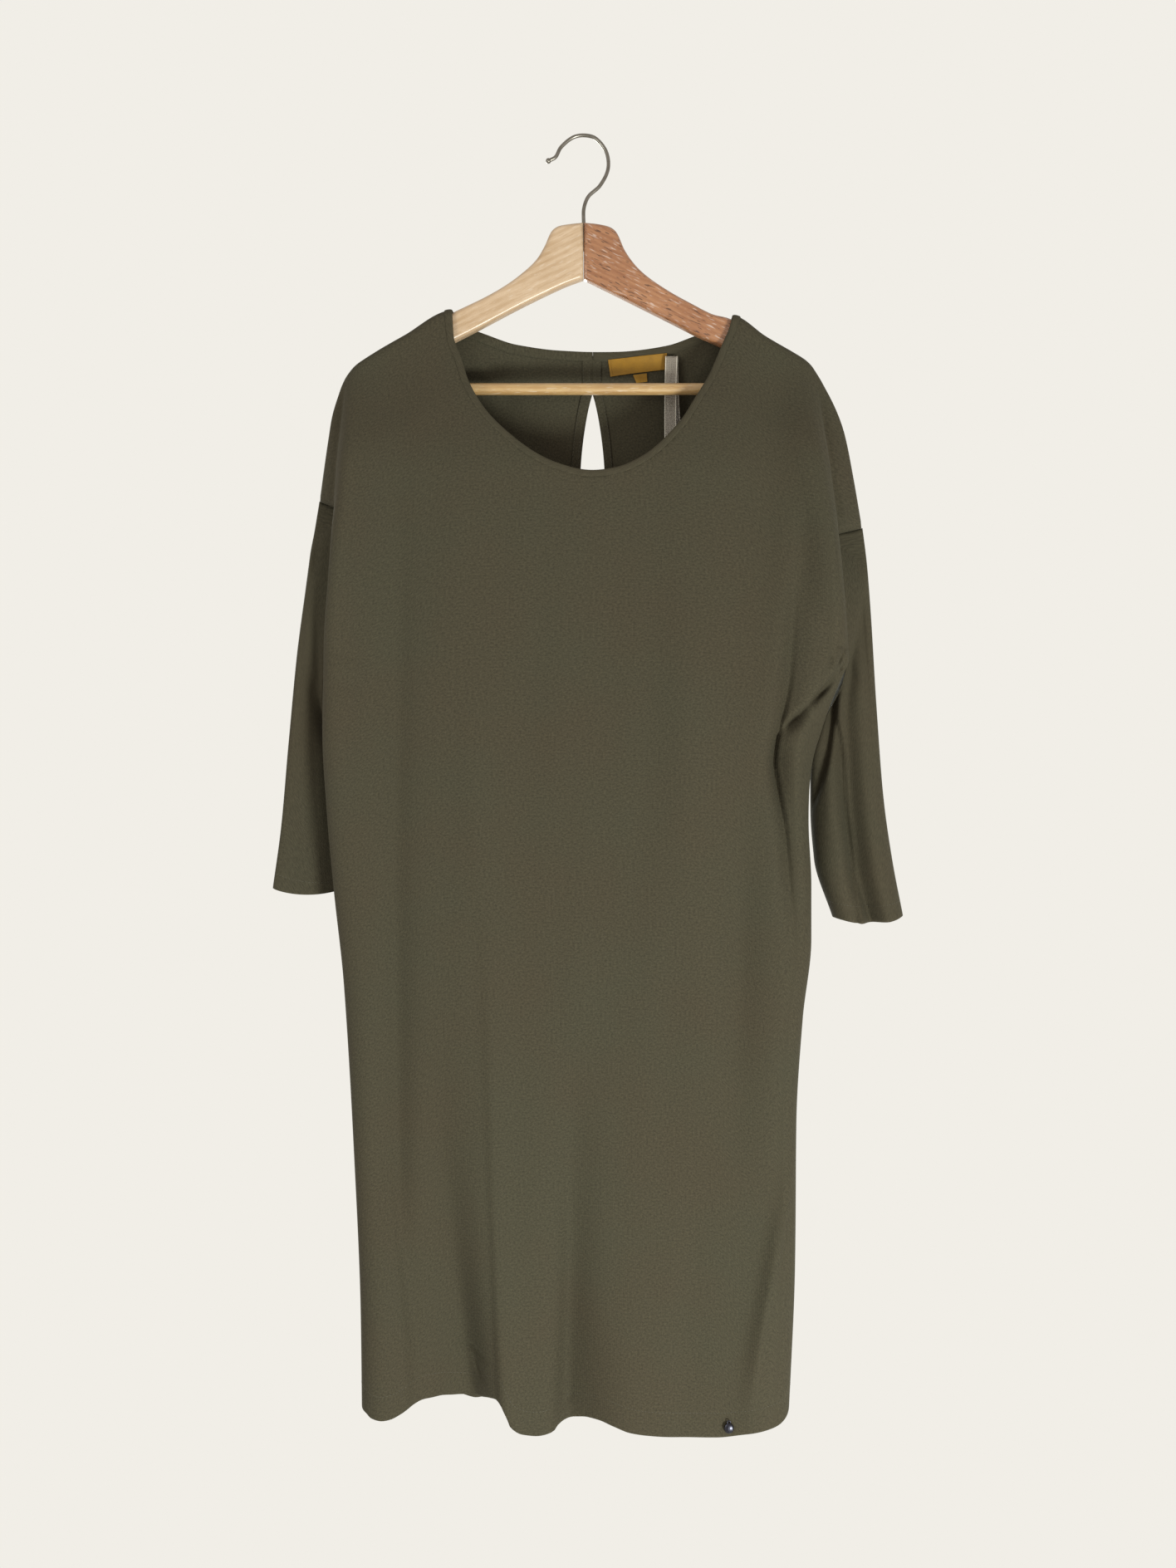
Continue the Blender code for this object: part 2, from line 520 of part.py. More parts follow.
def sleeve(rows, hole, outward, sag, bias, u, v):
    """A point of a sleeve: u runs round it from its outer fold over the front, v down it."""
    columns = range(1, len(SLEEVE_COLUMNS))
    at = dict(zip(SLEEVE_COLUMNS[1:], (through(rows, column, v) for column in columns)))
    outer = Vector((at["outer_x"], at["outer_y"], at["outer_z"]))
    inner = Vector((at["inner_x"], at["inner_y"], at["inner_z"]))
    angle = 2.0 * math.pi * u
    cosine, sine = math.cos(angle), math.sin(angle)
    point = inner.lerp(outer, 0.5 + 0.5 * cosine)
    near_hole = ease(1.0 - v / HOLE_REACH)
    bow = abs(sine) ** (1.0 + near_hole)
    point.x += hole[4] * bow * near_hole
    if sine > 0.0:
        place = 0.5 - 0.5 * cosine
        crease = math.exp(-(((place - CREASE_AT) / CREASE_WIDTH) ** 2))
        outer_bulge = 1.0 + bias * cosine * (1.0 - near_hole)
        point.y -= at["front"] * bow * outer_bulge - at["crease"] * crease
        point.z -= sag * sine * sine * ease(1.0 - (1.0 - v) / CUFF_REACH)
    else:
        point.y += at["back"] * bow
    start = ARMHOLE_GAP * ease(1.0 - v / GAP_REACH)
    point.x += outward * start
    point.z -= GAP_DOWN * start
    return point


# The neck


def on_layer(back, x, drop):
    """The point of the front or the back at a place across and down from the shoulder line."""
    z = shoulder_z(x) - drop
    return Vector((x, layer_depth(back, x, z, drop), z))


def neck_line(back, share, offset):
    """A point across and down from the shoulder, beside the neck's edge by an offset outward."""
    table = NECK_BACK_X_DROP if back else NECK_FRONT_X_DROP
    points = [(x, length_at(drop)) for x, drop in table]
    before = along(points, max(share - NECK_STEP, 0.0))
    after = along(points, min(share + NECK_STEP, 1.0))
    across, down = after[0] - before[0], after[1] - before[1]
    if min(share, 1.0 - share) < 0.5 * NECK_STEP:
        across = 0.0
        down = 1.0 if share < 0.5 else -1.0
    length = math.hypot(across, down)
    x, below = along(points, share)
    return x - offset * down / length, drop_at(max(0.0, below + offset * across / length))


def binding_width(back, share):
    seam = 0.5 * (BINDING_FRONT + BINDING_BACK)
    middle = BINDING_BACK if back else BINDING_FRONT
    return middle + (seam - middle) * ease(1.0 - min(share, 1.0 - share) / BINDING_CHANGE)


def binding(u, v):
    """The neck binding: u runs round the neck from the centre back, v across the strip."""
    place = linear(BINDING_PLACES, u)
    gap = SEAM_GAP / BACK_NECK
    if place < 1.0:
        back, share = True, (CENTRE_NECK - gap) * (1.0 - place)
    elif place < 2.0:
        back, share = False, place - 1.0
    else:
        back, share = True, 1.0 - (1.0 - CENTRE_NECK - gap) * (place - 2.0)
    x, drop = neck_line(back, share, v * binding_width(back, share))
    return on_layer(back, x, drop)


def neck_cutter(back):
    """The prism that opens the neck of the front or the back, up to the binding's outer edge."""
    outline = []
    for i in range(BINDING_STEPS + 1):
        place = linear(BINDING_PLACES, i / BINDING_STEPS)
        if back and place < 1.0:
            share = CENTRE_NECK * (1.0 - place)
        elif back and place > 2.0:
            share = 1.0 - (1.0 - CENTRE_NECK) * (place - 2.0)
        elif not back and 1.0 <= place <= 2.0:
            share = place - 1.0
        else:
            continue
        x, drop = neck_line(back, share, binding_width(back, share) + BINDING_GAP)
        outline.append((x, shoulder_z(x) - drop))
    outline = sorted(set(outline)) if back else outline
    outline = [(outline[0][0], outline[0][1] + CUTTER_REACH)] + outline
    outline.append((outline[-1][0], outline[-1][1] + CUTTER_REACH))
    low, high = (-SEAM_GAP * 0.5, CUTTER_REACH) if back else (-CUTTER_REACH, SEAM_GAP * 0.5)
    return prism("cut_neck_back" if back else "cut_neck_front", outline, low, high)


# What lies on the back


def raised_patch(corners, clear, u, v):
    """A flat piece over the inside of the back, between four corners given across and down."""
    top = Vector(corners[0]).lerp(Vector(corners[1]), u)
    bottom = Vector(corners[3]).lerp(Vector(corners[2]), u)
    x, z = top.lerp(bottom, v)
    point = on_layer(True, x, shoulder_z(x) - z)
    point.y -= clear
    return point


def loop_point(u, v):
    x, y, z = along(LOOP_X_Y_Z, v)
    return Vector((x + LOOP_WIDTH * (u - 0.5), y, z))


# Making objects


def clear_scene():
    for old in list(bpy.data.objects):
        bpy.data.objects.remove(old, do_unlink=True)


def collection(name):
    made = bpy.data.collections.new(name)
    bpy.context.scene.collection.children.link(made)
    return made


def material(name, finish):
    colour, roughness, metallic = finish
    made = bpy.data.materials.new(name)
    made.use_nodes = True
    shader = made.node_tree.nodes["Principled BSDF"]
    shader.inputs["Base Color"].default_value = (*colour, 1.0)
    shader.inputs["Roughness"].default_value = roughness
    shader.inputs["Metallic"].default_value = metallic
    return made


def add_object(name, data, group, finish=None):
    made = bpy.data.objects.new(name, data)
    group.objects.link(made)
    if finish is not None:
        data.materials.append(finish)
    return made


def body_share(columns, u, both=True):
    """The share of the width for a grid's own share, with a narrow first column at each seam."""
    column = u * columns
    if column < 2.0:
        share = linear(((0.0, 0.0), (1.0, SEAM_COLUMN), (2.0, 1.0)), column)
    elif both and column > columns - 2.0:
        share = columns - 2.0 - linear(((0.0, 0.0), (1.0, SEAM_COLUMN), (2.0, 1.0)), columns - column)
    else:
        share = column - 1.0
    return share / (columns - 2.0 if both else columns - 1.0)


def cloth(name, columns, rows, place, wall, group, finish, closed=False):
    """A grid bent into place and thickened to a wall; a closed one joins its first and last column."""
    mesh = bpy.data.meshes.new(name)
    grid = bmesh.new()
    bmesh.ops.create_grid(grid, x_segments=columns, y_segments=rows, size=1.0)
    for vert in grid.verts:
        u, v = 0.5 + 0.5 * vert.co.x, 0.5 - 0.5 * vert.co.y
        vert.co = place(clamp(u), clamp(v)) * MM
    if closed:
        bmesh.ops.remove_doubles(grid, verts=grid.verts[:], dist=0.01 * MM)
    for face in grid.faces:
        face.smooth = True
    grid.to_mesh(mesh)
    grid.free()
    made = add_object(name, mesh, group, finish)
    solid = made.modifiers.new("wall", "SOLIDIFY")
    solid.thickness = wall * MM
    solid.offset = 0.0
    return made


def prism(name, outline, low, high):
    """A closed outline in X and Z, run along Y from low to high; it cuts and is never shown."""
    mesh = bpy.data.meshes.new(name)
    shape = bmesh.new()
    ring = [shape.verts.new((x * MM, low * MM, z * MM)) for x, z in outline]
    face = shape.faces.new(ring)
    grown = bmesh.ops.extrude_face_region(shape, geom=[face])
    moved = [item for item in grown["geom"] if isinstance(item, bmesh.types.BMVert)]
    bmesh.ops.translate(shape, verts=moved, vec=(0.0, (high - low) * MM, 0.0))
    bmesh.ops.recalc_face_normals(shape, faces=shape.faces[:])
    shape.to_mesh(mesh)
    shape.free()
    return cutter(name, mesh)


def cutter(name, mesh):
    made = add_object(name, mesh, CUTTERS)
    made.hide_render = True
    made.display_type = "WIRE"
    return made


def cylinder_cutter(name, radius, length, axis, middle):
    mesh = bpy.data.meshes.new(name)
    shape = bmesh.new()
    turn = Matrix.Rotation(0.5 * math.pi, 4, "Y") if axis == "X" else Matrix.Identity(4)
    place = Matrix.Translation(Vector(middle) * MM) @ turn
    bmesh.ops.create_cone(
        shape, cap_ends=True, segments=24, radius1=radius * MM, radius2=radius * MM,
        depth=length * MM, matrix=place,
    )
    shape.to_mesh(mesh)
    shape.free()
    return cutter(name, mesh)


def cut(piece, tool):
    made = piece.modifiers.new("cut_" + tool.name, "BOOLEAN")
    made.operation = "DIFFERENCE"
    made.solver = "EXACT"
    made.object = tool


def flat_curve(name, outline, thickness, edge, group, finish):
    """A board of a flat outline in X and Z, with rounded edges."""
    data = bpy.data.curves.new(name, "CURVE")
    data.dimensions = "2D"
    data.fill_mode = "BOTH"
    data.extrude = (0.5 * thickness - edge) * MM
    data.bevel_depth = edge * MM
    data.bevel_resolution = 2
    data.offset = -edge * MM
    line = data.splines.new("POLY")
    line.points.add(len(outline) - 1)
    for point, (x, z) in zip(line.points, outline):
        point.co = (x * MM, z * MM, 0.0, 1.0)
    line.use_cyclic_u = True
    made = add_object(name, data, group, finish)
    made.rotation_euler = (0.5 * math.pi, 0.0, 0.0)
    return made


def as_mesh(piece, group):
    """The same piece as one welded mesh in world space, so that it can be cut."""
    name = piece.name
    bpy.context.view_layer.update()
    shown = piece.evaluated_get(bpy.context.evaluated_depsgraph_get())
    mesh = bpy.data.meshes.new_from_object(shown)
    mesh.transform(piece.matrix_world)
    bpy.data.objects.remove(piece, do_unlink=True)
    shape = bmesh.new()
    shape.from_mesh(mesh)
    bmesh.ops.remove_doubles(shape, verts=shape.verts[:], dist=0.02 * MM)
    shape.to_mesh(mesh)
    shape.free()
    mesh.name = name
    return add_object(name, mesh, group)


def wire(name, points, radius, resolution, group, finish):
    data = bpy.data.curves.new(name, "CURVE")
    data.dimensions = "3D"
    data.bevel_depth = radius * MM
    data.bevel_resolution = resolution
    data.use_fill_caps = True
    line = data.splines.new("POLY")
    line.points.add(len(points) - 1)
    for point, (x, y, z) in zip(line.points, points):
        point.co = (x * MM, y * MM, z * MM, 1.0)
    return add_object(name, data, group, finish)


# The sub-parts


def make_body(group, finish):
    front = cloth(
        "front", FRONT_COLUMNS, BODY_ROWS, lambda u, v: body(False, body_share(FRONT_COLUMNS, u), v),
        WALL, group, finish,
    )
    cut(front, neck_cutter(False))
    back_cutter = neck_cutter(True)
    centre = centre_back_share()
    for name, side in (("back_left", -1.0), ("back_right", 1.0)):
        half = cloth(
            name, BACK_COLUMNS, BODY_ROWS,
            lambda u, v, side=side: back_half(side, centre, 1.0 - body_share(BACK_COLUMNS, 1.0 - u, False), v),
            WALL, group, finish,
        )
        cut(half, back_cutter)


def make_sleeves(group, finish):
    for name, *shape in (
        ("sleeve_left", SLEEVE_LEFT, ARMHOLE_LEFT, -1.0, CUFF_SAG_LEFT, BULGE_BIAS_LEFT),
        ("sleeve_right", SLEEVE_RIGHT, ARMHOLE_RIGHT, 1.0, CUFF_SAG_RIGHT, BULGE_BIAS_RIGHT),
    ):
        cloth(
            name, SLEEVE_AROUND, SLEEVE_ROWS, lambda u, v, shape=shape: sleeve(*shape, u, v),
            WALL, group, finish, closed=True,
        )


def make_neck(group, finish):
    cloth("neck_binding", BINDING_STEPS, BINDING_ACROSS, binding, WALL, group, finish)


def make_labels(group, label_finish, ribbon_finish):
    clear = 0.5 * (WALL + RIBBON_WALL) + LABEL_CLEAR
    for name, corners in (("label", LABEL_CORNERS_X_Z), ("size_tab", TAB_CORNERS_X_Z)):
        cloth(
            name, 8, 3, lambda u, v, corners=corners: raised_patch(corners, clear, u, v),
            RIBBON_WALL, group, label_finish,
        )
    cloth("hanging_loop", 2, 28, loop_point, RIBBON_WALL, group, ribbon_finish)


def make_bead(group, finish):
    mesh = bpy.data.meshes.new("hem_bead")
    shape = bmesh.new()
    wide, thick, tall = BEAD_SIZE
    y = layer_depth(False, BEAD_X, BEAD_Z, SETTLE) - 0.5 * WALL - BEAD_GAP - 0.5 * thick
    size = Matrix.Diagonal((0.5 * wide * MM, 0.5 * thick * MM, 0.5 * tall * MM, 1.0))
    place = Matrix.Translation(Vector((BEAD_X, y, BEAD_Z)) * MM) @ size
    bmesh.ops.create_uvsphere(shape, u_segments=16, v_segments=10, radius=1.0, matrix=place)
    shape.to_mesh(mesh)
    shape.free()
    add_object("hem_bead", mesh, group, finish)


def make_hanger(group, pale, red, metal):
    joint = 0.5 * MITRE_GAP
    low, high = WIRE_END - END_GAP, ARM_TOP + END_GAP
    middle = (0.0, 0.0, 0.5 * (low + high))
    shank = cylinder_cutter("cut_shank", WIRE_RADIUS + FIT_GAP, high - low, "Z", middle)
    bar_middle = (0.5 * (BAR_LEFT + BAR_RIGHT), 0.0, BAR_Z)
    bar_length = BAR_RIGHT - BAR_LEFT
    socket = cylinder_cutter("cut_bar", BAR_RADIUS + FIT_GAP, bar_length + 2.0 * FIT_GAP, "X", bar_middle)
    for name, side, top, end, bottom, finish in (
        ("hanger_arm_left", -1.0, ARM_LEFT_TOP_X_Z, ARM_LEFT_END_X_Z, ARM_LEFT_BOTTOM_X_Z, pale),
        ("hanger_arm_right", 1.0, ARM_RIGHT_TOP_X_Z, ARM_RIGHT_END_X_Z, ARM_RIGHT_BOTTOM_X_Z, red),
    ):
        outline = [(side * joint, ARM_TOP), *top, *end, *bottom, (side * joint, ARM_NOTCH)]
        board = flat_curve(name, outline, ARM_THICKNESS, ARM_EDGE, group, finish)
        board = as_mesh(board, group)
        cut(board, shank)
        cut(board, socket)
    mesh = bpy.data.meshes.new("hanger_bar")
    shape = bmesh.new()
    turn = Matrix.Rotation(0.5 * math.pi, 4, "Y")
    bmesh.ops.create_cone(
        shape, cap_ends=True, segments=24, radius1=BAR_RADIUS * MM, radius2=BAR_RADIUS * MM,
        depth=bar_length * MM, matrix=Matrix.Translation(Vector(bar_middle) * MM) @ turn,
    )
    shape.to_mesh(mesh)
    shape.free()
    add_object("hanger_bar", mesh, group, pale)
    points = [(x, 0.0, z) for x, z in (along(HOOK_X_Z, i / 30.0) for i in range(31))]
    points.append((0.0, 0.0, WIRE_END))
    hook = as_mesh(wire("hanger_hook", points, WIRE_RADIUS, 2, group, metal), group)
    mesh = bpy.data.meshes.new("cut_ball")
    shape = bmesh.new()
    tip = Matrix.Translation(Vector(points[0]) * MM)
    bmesh.ops.create_uvsphere(shape, u_segments=14, v_segments=9, radius=BALL_RADIUS * MM, matrix=tip)
    shape.to_mesh(mesh)
    shape.free()
    ball = hook.modifiers.new("ball", "BOOLEAN")
    ball.operation = "UNION"
    ball.solver = "EXACT"
    ball.object = cutter("cut_ball", mesh)


clear_scene()
PARTS = collection("jersey_dress")
CUTTERS = collection("cutters")
jersey = material("jersey", CLOTH_FINISH)
make_body(PARTS, jersey)
make_sleeves(PARTS, jersey)
make_neck(PARTS, jersey)
make_labels(PARTS, material("woven_label", LABEL_FINISH), material("sheer_ribbon", RIBBON_FINISH))
make_bead(PARTS, material("dark_metal", BEAD_FINISH))
make_hanger(
    PARTS, material("pale_wood", PALE_WOOD_FINISH), material("red_wood", RED_WOOD_FINISH),
    material("wire", WIRE_FINISH),
)
bpy.context.view_layer.update()
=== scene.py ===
"""A jersey dress with dropped shoulders and three-quarter sleeves on a wooden hanger.

The file is laid out as a Blender add-on and run as a script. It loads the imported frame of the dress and
builds the cloth, its sewing, the trims and a finer hanger around it. Shapes are worked out in
millimetres and made in metres. X runs to the right as the front is seen, Y to the back and Z up, from
the inner top of the hanger's hook. A cloth panel is a grid that a function of u across and v down bends.
"""

import math
from contextlib import contextmanager

import bmesh
import bpy
import numpy as np
from bpy.props import FloatProperty, FloatVectorProperty, IntProperty, PointerProperty
from bpy.types import Operator, Panel, PropertyGroup
from mathutils import Matrix, Vector


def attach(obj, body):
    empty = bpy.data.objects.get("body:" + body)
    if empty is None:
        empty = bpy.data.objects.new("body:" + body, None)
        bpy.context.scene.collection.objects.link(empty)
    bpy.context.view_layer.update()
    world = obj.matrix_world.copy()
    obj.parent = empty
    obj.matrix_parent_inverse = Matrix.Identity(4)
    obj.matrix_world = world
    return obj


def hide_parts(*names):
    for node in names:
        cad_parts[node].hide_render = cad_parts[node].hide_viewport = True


bl_info = {
    "name": "Jersey Dress on a Hanger",
    "version": (1, 0, 0),
    "blender": (4, 5, 0),
    "location": "3D View > Sidebar > Jersey Dress",
    "description": "Builds a jersey dress with its sewing and trims on a two-wood hanger",
    "category": "Add Mesh",
}

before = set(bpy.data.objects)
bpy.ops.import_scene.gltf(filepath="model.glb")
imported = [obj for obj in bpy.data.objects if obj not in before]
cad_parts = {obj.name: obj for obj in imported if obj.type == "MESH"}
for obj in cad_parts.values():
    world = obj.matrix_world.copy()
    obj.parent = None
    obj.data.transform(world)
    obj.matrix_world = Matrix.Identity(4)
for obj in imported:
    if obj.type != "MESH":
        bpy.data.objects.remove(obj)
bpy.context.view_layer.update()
MM = 0.001


# The dress's own tables, in millimetres. They are the solids' too, apart from the hem's line, two of the
# front's main folds and the start of the shoulders, which are drawn a little closer here.


NECK_LEFT, NECK_RIGHT = -117.5, 133.5
SHOULDER_X_Z_Y = (
    (-238.3, -324.7, 10),
    (-232.9, -292.8, 5),
    (-229, -270, 2),
    (-225.3, -250, 0),
    (-219.8, -232, 0),
    (-214.5, -219, 0),
    (-209.5, -211.8, 0),
    (-204.5, -206.4, 0),
    (-199.5, -202.4, 0),
    (-160, -178.6, 0),
    (NECK_LEFT, -156.2, 0),
    (NECK_RIGHT, -161.2, 0),
    (162.6, -179.6, 0),
    (190, -195.4, 0),
    (198, -200.5, 0),
    (203.5, -205.4, 0),
    (208.5, -212.4, 0),
    (214.5, -222, 0),
    (225.2, -242.2, 0),
    (234.4, -265.1, 3),
    (242.5, -303.2, 5),
    (251, -349, 8),
)
ROLL, ROLL_LENGTH = 8.0, 14.6
ROLL_PAST_ARM, ROLL_WIDENS = 34.0, 14.0
ARM_CLEAR = 10.5
SETTLE, NECK_SETTLE = 90.0, 55.0
START_U_X = (
    (0, -214.5), (0.035, -210.5), (0.07, -204.5), (0.11, -192), (0.27, NECK_LEFT),
    (0.79, NECK_RIGHT), (0.91, 189), (0.945, 199.5), (0.97, 205), (1, 209.5),
)

# z, front, back, seam_x, seam_y
SIDE_LEFT = (
    (-200, -211.5, -211.5, -211.5, 0),
    (-240, -214.5, -214.5, -214.5, 0),
    (-297, -218.5, -218.5, -218.5, 3),
    (-342, -222.8, -223.5, -222.8, 5),
    (-395, -227.5, -227.5, -227.5, 4),
    (-447, -230.5, -230, -230.3, 0),
    (-533, -232.4, -231, -232, -2),
    (-606, -228.3, -227, -228, -2),
    (-676, -222.1, -221.5, -222, -1),
    (-757, -213.5, -213.5, -213.5, 0),
    (-912, -204.4, -204.4, -204.4, 2),
    (-1051, -198.4, -198.4, -198.4, 2),
    (-1150, -197, -197, -197, 2),
)
SIDE_RIGHT = (
    (-200, 205.5, 205.5, 205.5, 0),
    (-248, 211, 211, 211, 0),
    (-300, 218, 218, 218, 2),
    (-362, 227, 224, 227, 2),
    (-404, 230.6, 225, 230.6, -1),
    (-449, 232.5, 226, 235, -5),
    (-468, 231.5, 226, 236.3, -6),
    (-487, 226, 225, 229.5, -2),
    (-508, 216, 221, 222, 6),
    (-530, 206, 215, 215, 9),
    (-560, 200.5, 206.5, 206, 9),
    (-590, 200.3, 202, 202, 6),
    (-618, 200.8, 200.8, 200.8, 4),
    (-669, 203, 203, 203, 2),
    (-718, 203, 203, 203, 2),
    (-789, 195.3, 195.3, 195.3, 2),
    (-883, 189.5, 189.5, 189.5, 2),
    (-1008, 188.2, 188.2, 188.2, 2),
    (-1150, 182, 182, 182, 2),
)
DEPTH_Z_FRONT_BACK = (
    (-156, -14, 12),
    (-200, -17, 26),
    (-240, -22, 28),
    (-307, -32, 28),
    (-450, -31, 26),
    (-700, -29, 26),
    (-950, -31, 31),
    (-1150, -36, 38),
)
EDGE_SHARE, EDGE_SQUARE, SEAM_REACH = 0.10, 1.4, 0.75
UNDERARM_FADE, TURN_DEPTH, ARM_REACH = 30.0, 9.0, 210.0
EDGE_ROUND_LEFT, EDGE_ROUND_RIGHT = 26.0, 30.0
START_REACH = 60.0

# The main folds that the solids have too: x0, z0, x1, z1, left, right, depth at top, middle, bottom, fade
FRONT_FOLDS = (
    (-166, -330, -170, -900, 16, 20, 2, 4, 5, 110),
    (-150, -700, -97, -1165, 44, 20, 0, 9, 44, 60),
    (-112, -345, -76, -1130, 24, 30, -1.5, -3.5, -5, 120),
    (-16, -760, -8, -1165, 15, 26, 0, 8, 23, 60),
    (88, -400, 88, -660, 26, 26, -3, -5, -3, 110),
    (154, -270, 158, -450, 26, 20, 4, 6, 3, 80),
    (138, -620, 132, -840, 18, 20, 3, 6, 3, 90),
    (191, -380, 171, -560, 9, 12, 3, 7, 8, 60),
    (171, -560, 185, -720, 8, 10, 8, 6, 2, 40),
    (186, -905, 147, -1120, 10, 22, -2, -5, -3, 60),
)
BACK_FOLDS = (
    (-150, -430, -165, -700, 60, 50, 4, 8, 5, 90),
    (-70, -520, -92, -1165, 26, 26, 0, 6, 15, 90),
    (70, -420, 62, -1165, 30, 30, 0, 6, 16, 90),
    (150, -560, 140, -1165, 22, 26, 0, 4, 9, 90),
)

# Smaller folds of the cloth itself, each a line down it: z, x, width to the left and right, depth.
# A positive depth is a trough and a negative one a ridge.
FRONT_CREASES = (
    # the soft trough down the left of the front, and its second line near the hem
    ((-300, -160, 9, 12, 0), (-420, -162, 8, 12, 1.8), (-670, -166, 7, 11, 3.2),
     (-940, -163, 5, 12, 4), (-1080, -151, 4, 14, 3.6), (-1150, -149, 4, 14, 3)),
    # the ridge that sharpens down to the hem left of the middle
    ((-330, -110, 12, 14, 0), (-560, -97, 10, 13, -0.8), (-740, -84, 7, 12, -1.8),
     (-960, -77, 4.4, 12, -3.4), (-1110, -71, 3.4, 12, -4.4), (-1150, -68, 3.4, 12, -3.4)),
    # the trough that ends in a crease at the hem
    ((-780, -8, 10, 14, 0), (-994, -13.5, 5, 14, 3.6), (-1080, -18, 3.2, 14, 6),
     (-1134, -22, 2.4, 13, 7), (-1150, -22.5, 2.4, 12, 6)),
    # soft zones at the right of the chest and below
    ((-400, 90, 16, 16, 0), (-540, 91, 14, 16, -1), (-700, 92, 16, 18, 0)),
    ((-600, 134, 10, 14, 0), (-740, 136, 9, 12, 1.2), (-860, 130, 10, 14, 0)),
    # the crease down the right side below the underarm, its right lip the nearer
    ((-400, 187, 6, 3, 0), (-431.7, 185.4, 6, 2.4, 1.8), (-487.7, 182.3, 5, 1.8, 3.6),
     (-515.3, 177.8, 5, 1.7, 5), (-530.6, 173.6, 4.6, 1.6, 7), (-560.4, 169.6, 4.6, 1.6, 8),
     (-588, 173.8, 4.8, 1.6, 7), (-627.3, 179.3, 5.5, 1.7, 5), (-675.2, 182.3, 8, 2.2, 2.4),
     (-715, 184.9, 8, 3, 0)),
    # the edges where the front folds over its sides from the shoulders to the underarms
    ((-214, 204, 20, 2.6, 0), (-228.1, 206, 22, 2.6, -2.5), (-264.4, 210.6, 24, 2.6, -10),
     (-312.9, 216.8, 24, 2.6, -14.5), (-361.1, 222.8, 24, 2.6, -17), (-397.5, 226, 22, 2.6, -16),
     (-431.7, 230, 18, 2.6, -11), (-462, 233.5, 12, 2.6, 0)),
    ((-214, -207.5, 2.6, 20, 0), (-224.3, -209.7, 2.6, 22, -2.5), (-263.2, -213, 2.6, 22, -10),
     (-333.8, -218.4, 2.6, 22, -13), (-396.8, -221.8, 2.6, 20, -12), (-461.7, -227.2, 2.6, 18, -8),
     (-560, -226.5, 2.8, 18, -5), (-700, -216, 3.2, 16, 0)),
    # the strips behind those edges, drawn in where they meet them
    ((-224, 210, 2, 4, 0), (-264.4, 214.2, 2, 4.5, 6), (-361.1, 226.4, 2, 4.5, 8),
     (-431.7, 233.4, 2, 4, 5), (-458, 236.5, 2, 4, 0)),
    ((-224, -213.2, 4, 2, 0), (-263.2, -216.6, 4.5, 2, 5), (-396.8, -225.4, 4.5, 2, 6),
     (-470, -231, 4, 2, 0)),
    # the ridge where the right side turns back above the hem
    ((-905, 185.5, 6, 4, 0), (-1000, 167, 10, 3, -3.4), (-1062, 154, 10, 3, -3.8),
     (-1125, 145, 10, 6, 0)),
)
BACK_CREASES = (
    ((-420, -120, 10, 12, 0), (-600, -132, 7, 12, 3), (-860, -128, 9, 12, 0)),
    ((-640, -40, 10, 14, 0), (-900, -34, 7, 12, -3.2), (-1138, -30, 6, 12, -4.4)),
    ((-520, 104, 12, 12, 0), (-820, 100, 8, 12, -3), (-1138, 98, 7, 12, -4)),
    ((-400, 150, 10, 12, 0), (-560, 158, 7, 10, 3.6), (-760, 162, 9, 12, 0)),
    ((-700, -92, 12, 9, 0), (-940, -96, 12, 6, 2.6), (-1138, -99, 12, 5, 3.6)),
)
# Short creases: x0, z0, x1, z1, width on the left and right of the way from the first point, depth
FRONT_PULLS = (
    # the front's upper cloth hangs over the side below the underarm
    (238, -472, 225.4, -478.5, 8, 1.6, 9),
    (225.4, -478.5, 197.3, -509.5, 9, 1.3, 18),
    (197.3, -509.5, 175.5, -531.5, 8, 1.3, 13),
    # the small crinkles where that fold is held in the underarm seam
    (222, -458.6, 238, -459.6, 1.9, 1.9, 6),
    (226, -464.5, 236, -467, 1.7, 1.7, -4),
    (230, -462, 223.5, -476, 1.8, 1.8, 7),
    (233, -467, 226, -481, 1.8, 1.8, 6),
    (219, -463, 216, -478, 2.4, 2.4, 3),
    (222, -489, 204, -506, 2.2, 2.2, 3),
    # creases left by folding, above the hem
    (-116, -1074, -84, -1084, 1.4, 3.4, 4.2),
    (-98, -1088, -91, -1106, 3.2, 1.4, 4.2),
    (-108, -1092, -98, -1094, 2.2, 2.2, 0.9),
    (-22, -1134, -11, -1121, 1.8, 1.8, 2),
    (-70, -1128, -60, -1136, 1.8, 1.8, 1),
    (-119.6, -190, -117.6, -212, 1.2, 1.2, -0.8),
    (-196, -470, -228, -462, 5, 5, 0.9),
    (-188, -500, -226, -486, 6, 6, 0.8),
)
BACK_PULLS = (
    (-198, -470, -228, -462, 5, 5, 1.2),
    (224, -470, 196, -492, 4.5, 4.5, 1.6),
    (222, -482, 188, -520, 5, 5, 1.2),
)
# A crease goes on this far below its last point. A pull is this share as deep at its ends as in its middle.
PAST_END, PULL_END = 30.0, 0.25
FRONT_SEED, BACK_SEED = 1.3, 4.1

